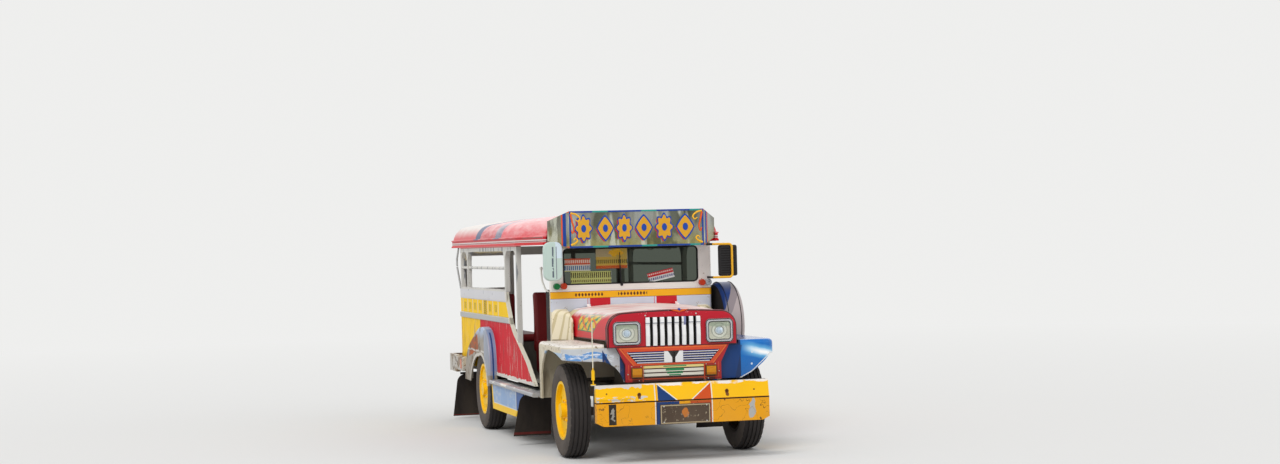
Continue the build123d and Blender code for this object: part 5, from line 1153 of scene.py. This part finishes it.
@material("ceccbc", 0.3, 0.35)
def reflector_mat(p, x, d, z, side):
    # Concentric lighter and darker rings and the pale tint over the upper part are painted reflections and shade in
    # the chrome bowl
    for reach, colour in ((0.064, "b2b2a4"), (0.056, "deded2"), (0.038, "8c908c"),
                          (0.032, "d6dcde")):
        p(colour, spot(side, z, (LAMP_X, LAMP_Z), (1.12 * reach, reach)))
    p("a8b6a0", (z.wobble(0.03, 30.0) > LAMP_Z + 0.034) * 0.7)
    p.fade(0.14, 26.0)


lens = glass("lens_glass", (0.98, 0.99, 0.98, 1.0), 0.03, 1.25)
lens_glass = lens.bump((lens.x * 640.0).sine(), 0.00015).bump((lens.z * 160.0).sine(), 0.0002, 0.6).done()


@material("46382e", 0.6, spec=0.2)
def plate_mat(p, x, d, z, side):
    p("b0a080", stroke(x, z, [(-0.198, 0.328), (0.214, 0.328), (0.214, 0.472), (-0.198, 0.472),
                              (-0.198, 0.328)], 0.004))
    p("be6e22", spot(x.wobble(0.03, 20.0), z, (0.01, 0.41), (0.03, 0.04)))
    p.fade(0.2, 9.0).chips("968a74", None, 26.0, 0.58).grime(0.3, 0.3, 0.6)


@material("cec8b0", 0.6, spec=0.2)
def board_mat(p, x, d, z, side):
    strokes = (x.wobble(0.006, 40.0) * 330.0).sine() > -0.2
    first = (x < -0.37) & (z > 1.572)
    p("d8d6ce", first)
    p("d65432", first & (z > 1.636))
    p("ecdcce", first & strokes & z.band(1.65, 1.678))
    p("386898", first & strokes & z.band(1.588, 1.626))
    second = (x < -0.18) & (z < 1.5815)
    p("c4c474", second)
    p("4a4228", second & strokes & z.band(1.515, 1.565))
    p("6e6038", second & strokes & z.band(1.478, 1.5))
    third = x.band(-0.325, -0.02) & (z > 1.59)
    p("ceac4a", third)
    p("baa880", third & (z > 1.7) & (x < -0.17))
    p("f6be24", third & spot(x.wobble(0.05, 16.0), z.wobble(0.05, 14.0, 3.0), (-0.13, 1.735), (0.06, 0.03)))
    p("5c5424", third & strokes & z.band(1.64, 1.675))
    p("ce5c24", third & (z < 1.622))
    fourth = x > 0.1
    p("e2dede", fourth)
    tilt = x.mad(-0.205, z)
    p("cc282e", fourth & (tilt > 1.466))
    p("ecd6d2", fourth & strokes & tilt.band(1.484, 1.496))
    p("283c78", fourth & strokes & tilt.band(1.434, 1.456))
    p.fade(0.06, 9.0).bump(p.noise(50.0, 3.0), 0.0004)


# Headlamps: rubber ring, reflector, bulb cover and a fluted lens in each chrome bezel
BOWL_BACK = -0.5812
BOWL = [(1.0, -0.5885), (0.86, -0.5845), (0.62, -0.5822), (0.32, BOWL_BACK)]
LENS = [(1.0, -0.5893), (1.0, -0.5915), (0.965, -0.5945), (0.8, -0.5975), (0.5, -0.5992), (0.15, -0.5998)]
for side, name in SIDES:
    x = side * LAMP_X
    ring = Shape().tube(upright(rounded(0.0955, 0.0755, 0.026), x, -0.5895, LAMP_Z), 0.0034, closed=True)
    ring.tube(upright(rounded(0.1165, 0.0965, 0.036), x, -0.5935, LAMP_Z), 0.0024, closed=True)
    ring.piece("headlamp_ring_" + name, "lamp_chrome", rubber_mat)
    bowl = Shape().rings([upright(rounded(0.093 * k, 0.073 * k, 0.024 * k), x, d, LAMP_Z) for k, d in BOWL],
                         caps=False)
    bowl.rings([upright(rounded(0.093 * 0.32, 0.073 * 0.32, 0.008), x, d, LAMP_Z) for d in (BOWL_BACK, -0.5803)])
    bulb = [(-0.002, 0.026), (0.003, 0.026), (0.0055, 0.02), (0.0068, 0.0)]
    bowl.lathe(bulb, at(x, BOWL_BACK, LAMP_Z), (0, -1, 0), 28, 1)
    bowl.piece("headlamp_reflector_" + name, "lamp_chrome", reflector_mat, bulb_mat)
    lens = Shape().rings([upright(rounded(0.0925 * k, 0.0725 * k, 0.024 * k), x, d, LAMP_Z) for k, d in LENS])
    lens.piece("headlamp_lens_" + name, "glass", lens_glass, smooth=50)

# Windshield seal, boards stuck behind the glass, plate, wipers
glass_lo, glass_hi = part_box("windshield_glass")
glass_mid = (glass_lo + glass_hi) / 2
seal_line = rounded((glass_hi.x - glass_lo.x) / 2 + 0.001, (glass_hi.z - glass_lo.z) / 2 + 0.001, 0.04, 8)
seal = Shape().tube(upright(seal_line, glass_mid.x, 0.8055, glass_mid.z), 0.0065, closed=True)
seal.piece("windshield_seal", "column_black", rubber_mat)
boards = Shape()
for corners in BOARDS:
    boards.prism(corners, lambda u, v, end: Vector((u, glass_hi.y + (0.0004 if end else 0.0034),
                                                    max(v, glass_lo.z + 0.003))))
boards.piece("window_boards", "white_paint", board_mat, bevel=0.0006)
PLATE_FACE = -0.8745
plate = Shape().box(at(-0.208, PLATE_FACE, 0.318), at(0.224, -0.8705, 0.482))
for x, z in ((-0.175, 0.465), (0.19, 0.465), (-0.175, 0.335), (0.19, 0.335)):
    plate.dome(at(x, PLATE_FACE, z), (0, -1, 0), 0.007, 0.004, mark=1)
plate.piece("blank_plate", "bumper_paint", plate_mat, screw_mat, bevel=0.001)
wipers = Shape()
for x in (-0.613, -0.091):
    wipers.lathe([(0, 0.0), (0, 0.014), (0.012, 0.012), (0.016, 0.0)], at(x, 0.805, 1.448), (0, -1, 0), 20)
    wipers.tube([at(x, 0.792, 1.448), at(x - 0.006, 0.79, 1.52), at(x - 0.01, 0.797, 1.62)], [0.005, 0.004, 0.003])
    wipers.box(at(x - 0.014, 0.802, 1.475), at(x - 0.008, 0.8115, 1.74))
    for z in (1.5, 1.6, 1.7):
        wipers.box(at(x - 0.016, 0.796, z - 0.006), at(x - 0.006, 0.804, z + 0.006))
wipers.piece("wipers", "column_black", wiper_mat, bevel=0.0008)

# Visor edges: curled ribbons at the corners and a rolled bead at the head and foot of the face
VISOR_EDGE = 0.5525
CURLS = [
    # points in x and z from the corner inward
    [(0.605, 2.095), (0.56, 2.085), (0.52, 2.05), (0.535, 2.02), (0.56, 2.035)],
    [(0.605, 2.085), (0.59, 2.02), (0.575, 1.96), (0.588, 1.915), (0.6, 1.945)],
    [(0.605, 1.812), (0.57, 1.825), (0.545, 1.85), (0.562, 1.872), (0.58, 1.855)],
]
curls = Shape()
for side in (-1, 1):
    for index, row in enumerate(CURLS):
        line = smooth_line([at(side * x, VISOR_EDGE, z) for x, z in row])
        curls.tube(line, [0.0095 - 0.005 * i / len(line) for i in range(len(line))], mark=index % 2)
for z in (1.7935, 2.1045):
    curls.tube([at(-0.612, VISOR_EDGE, z), at(0.612, VISOR_EDGE, z)], 0.0035, mark=2)
curls.piece("visor_curls", "visor_steel", ribbon_mat, orange_mat, screw_mat)

# Nose ornament, rivets, bolts, mirror ribs and handle
WING_X = 0.06
WING = [(0.0, -0.012), (0.02, -0.004), (0.05, 0.002), (0.082, 0.016), (0.06, 0.014), (0.034, 0.012),
        (0.01, 0.008), (0.0, 0.006)]
wings = Shape()
for side in (-1, 1):
    outline = [(WING_X + side * u, 1.2365 + v) for u, v in WING]
    wings.prism(outline[::side], lambda u, v, end: at(u, -0.564 if end else -0.577, v))
body = [(-0.03, 0.0), (-0.022, 0.008), (0.0, 0.0115), (0.018, 0.008), (0.026, 0.0)]
wings.lathe(body, at(WING_X, -0.566, 1.25), (0, 1, 0.1), 16, 1)
wings.piece("nose_ornament", "red_paint", orange_mat, blue_line, bevel=0.0015)

NOSE_FACE = -0.5705
studs = Shape()
for x, z in ((-0.235, 1.207), (0.205, 1.211)):
    studs.dome(at(x, NOSE_FACE, z), (0, -1, 0), 0.008, 0.005)
for side in (-1, 1):
    for x, z in ((0.282, 0.784), (0.362, 0.784), (0.395, 0.9), (0.395, 0.72), (0.3, 0.665)):
        studs.dome(at(side * x, NOSE_FACE, z), (0, -1, 0), 0.006, 0.004)
    for step in range(21):
        for z in (1.0905, 1.1335):
            studs.dome(at(side * 0.9118, round(2.3 + 0.12 * step, 2), z), (side, 0, 0), 0.006, 0.0035, 8)
    for step in range(18):
        studs.dome(at(side * 0.8998, 0.98 + 0.1 * step, 0.578), (side, 0, 0), 0.0055, 0.003, 8)
    for (u0, v0), (u1, v1) in zip(SIDE_FRONT[:4], SIDE_FRONT[1:5]):
        for k in (0.2, 0.5, 0.8):
            place = at(side * 0.9048, u0 + k * (u1 - u0) + 0.02, v0 + k * (v1 - v0))
            studs.dome(place, (side, 0, 0), 0.005, 0.003, 8)
studs.piece("rivets", "side_paint", screw_mat, smooth=60)

bolts = Shape()
for x in (-0.375, 0.375):
    bolts.tube(upright(circle(0, 0, 0.013, 20), x, -0.849, 0.57), 0.003, closed=True)
for x, z in ((0.611, 0.575), (0.35, 0.5), (-0.65, 0.585)):
    bolts.dome(at(x, -0.8625 + max(0.0, z - 0.508) * 0.22, z), (0, -1, 0), 0.007, 0.004)
bolts.piece("bumper_bolts", "bumper_paint", rust_mat)
ribs = Shape()
for row in range(11):
    z = 1.53 + 0.022 * row
    ribs.box(at(0.8, 0.635, z - 0.004), at(0.932, 0.6395, z + 0.004))
ribs.piece("mirror_ribs_left", "mirror_shell", rubber_mat, bevel=0.0015)
HANDLE = [(-0.7285, 0.832, 1.4), (-0.742, 0.86, 1.403), (-0.75, 0.98, 1.412), (-0.75, 1.079, 1.454),
          (-0.75, 1.15, 1.5), (-0.75, 1.176, 1.56), (-0.75, 1.178, 1.6)]
handle = Shape().tube(smooth_line([at(*place) for place in HANDLE]), 0.009, 12)
knob = [(0.0, 0.0), (0.002, 0.014), (0.01, 0.016), (0.022, 0.01), (0.026, 0.0)]
handle.lathe(knob, at(-0.75, 1.178, 1.598), (0, 0, 1), 14)
handle.piece("post_handle", "white_paint", handle_mat)

# Rear: lamp rims, reflectors, end caps of the bumper, tread ribs
rims = Shape()
for side in (-1, 1):
    for z in (1.01, 0.9):
        rims.tube(upright(circle(0, 0, 0.0455, 28), side * 0.7, 4.785, z), 0.005, closed=True)
rims.piece("tail_lamp_rims", "lamp_chrome", chrome)
reflectors, caps = Shape(), Shape()
for side in (-1, 1):
    x0, x1 = span(side, 0.9845, 0.989)
    reflectors.box(at(x0, 4.312, 0.548), at(x1, 4.392, 0.65))
    x0, x1 = span(side, 0.62, 0.74)
    reflectors.box(at(x0, 5.0795, 0.57), at(x1, 5.084, 0.61), 1)
    x0, x1 = span(side, 0.916, 0.985)
    caps.box(at(x0, 4.3, 0.52), at(x1, 4.6215, 0.672))
reflectors.piece("reflectors", "lamp_chrome", amber_mat, red_mat, bevel=0.002)
caps.piece("bumper_end_caps", "step_metal", rear_bumper_mat, bevel=0.014)
tread = Shape()
for row in range(8):
    tread.box(at(-0.34, 4.775 + 0.027 * row, 0.4598), at(0.34, 4.785 + 0.027 * row, 0.4632))
tread.piece("step_ribs", "step_metal", rear_bumper_mat, bevel=0.001)

# Welts of the spare wheel's cover
welts = Shape()
for x in (0.832, 0.948):
    welts.tube([at(x, u, v) for u, v in circle(0.915, 1.062, 0.3805, 72)], 0.0032, closed=True)
welts.piece("spare_cover_welts", "spare_cover", rubber_mat)

# Clamping strips with bolts that hang the front mud flaps from the steps
STRIP = [(1.0865, 0.4818), (1.1015, 0.4818), (1.109, 0.46), (1.094, 0.46)]
strips = Shape()
for side in (-1, 1):
    strips.prism(STRIP[::side], lambda u, v, end: at(side * (0.89 if end else 0.7), u, v))
    for x in (0.72, 0.795, 0.87):
        strips.dome(at(side * x, 1.0905, 0.471), (0, -1, -0.3), 0.006, 0.004, mark=1)
strips.piece("flap_strips", "flap_rubber", chassis_mat, screw_mat, bevel=0.001)

# Canvas gathered at the rear of the right window row
SWAG_TOP = 1.788
rows = []
for down in range(9):
    row = []
    for along in range(41):
        foot = 1.765 - 0.085 * along / 40
        z = SWAG_TOP - (SWAG_TOP - foot) * down / 8
        fold = 0.01 * math.sin(along * 0.95) * (0.3 + 0.7 * down / 8)
        row.append(at(-0.848 + fold, 4.345 + 0.335 * along / 40, z + 0.004 * math.sin(along * 0.5)))
    rows.append(row)
swag = Shape().grid(rows).piece("canvas_swag", "curtain_cloth", canvas_mat, smooth=70)

# Size of the model
lo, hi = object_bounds()
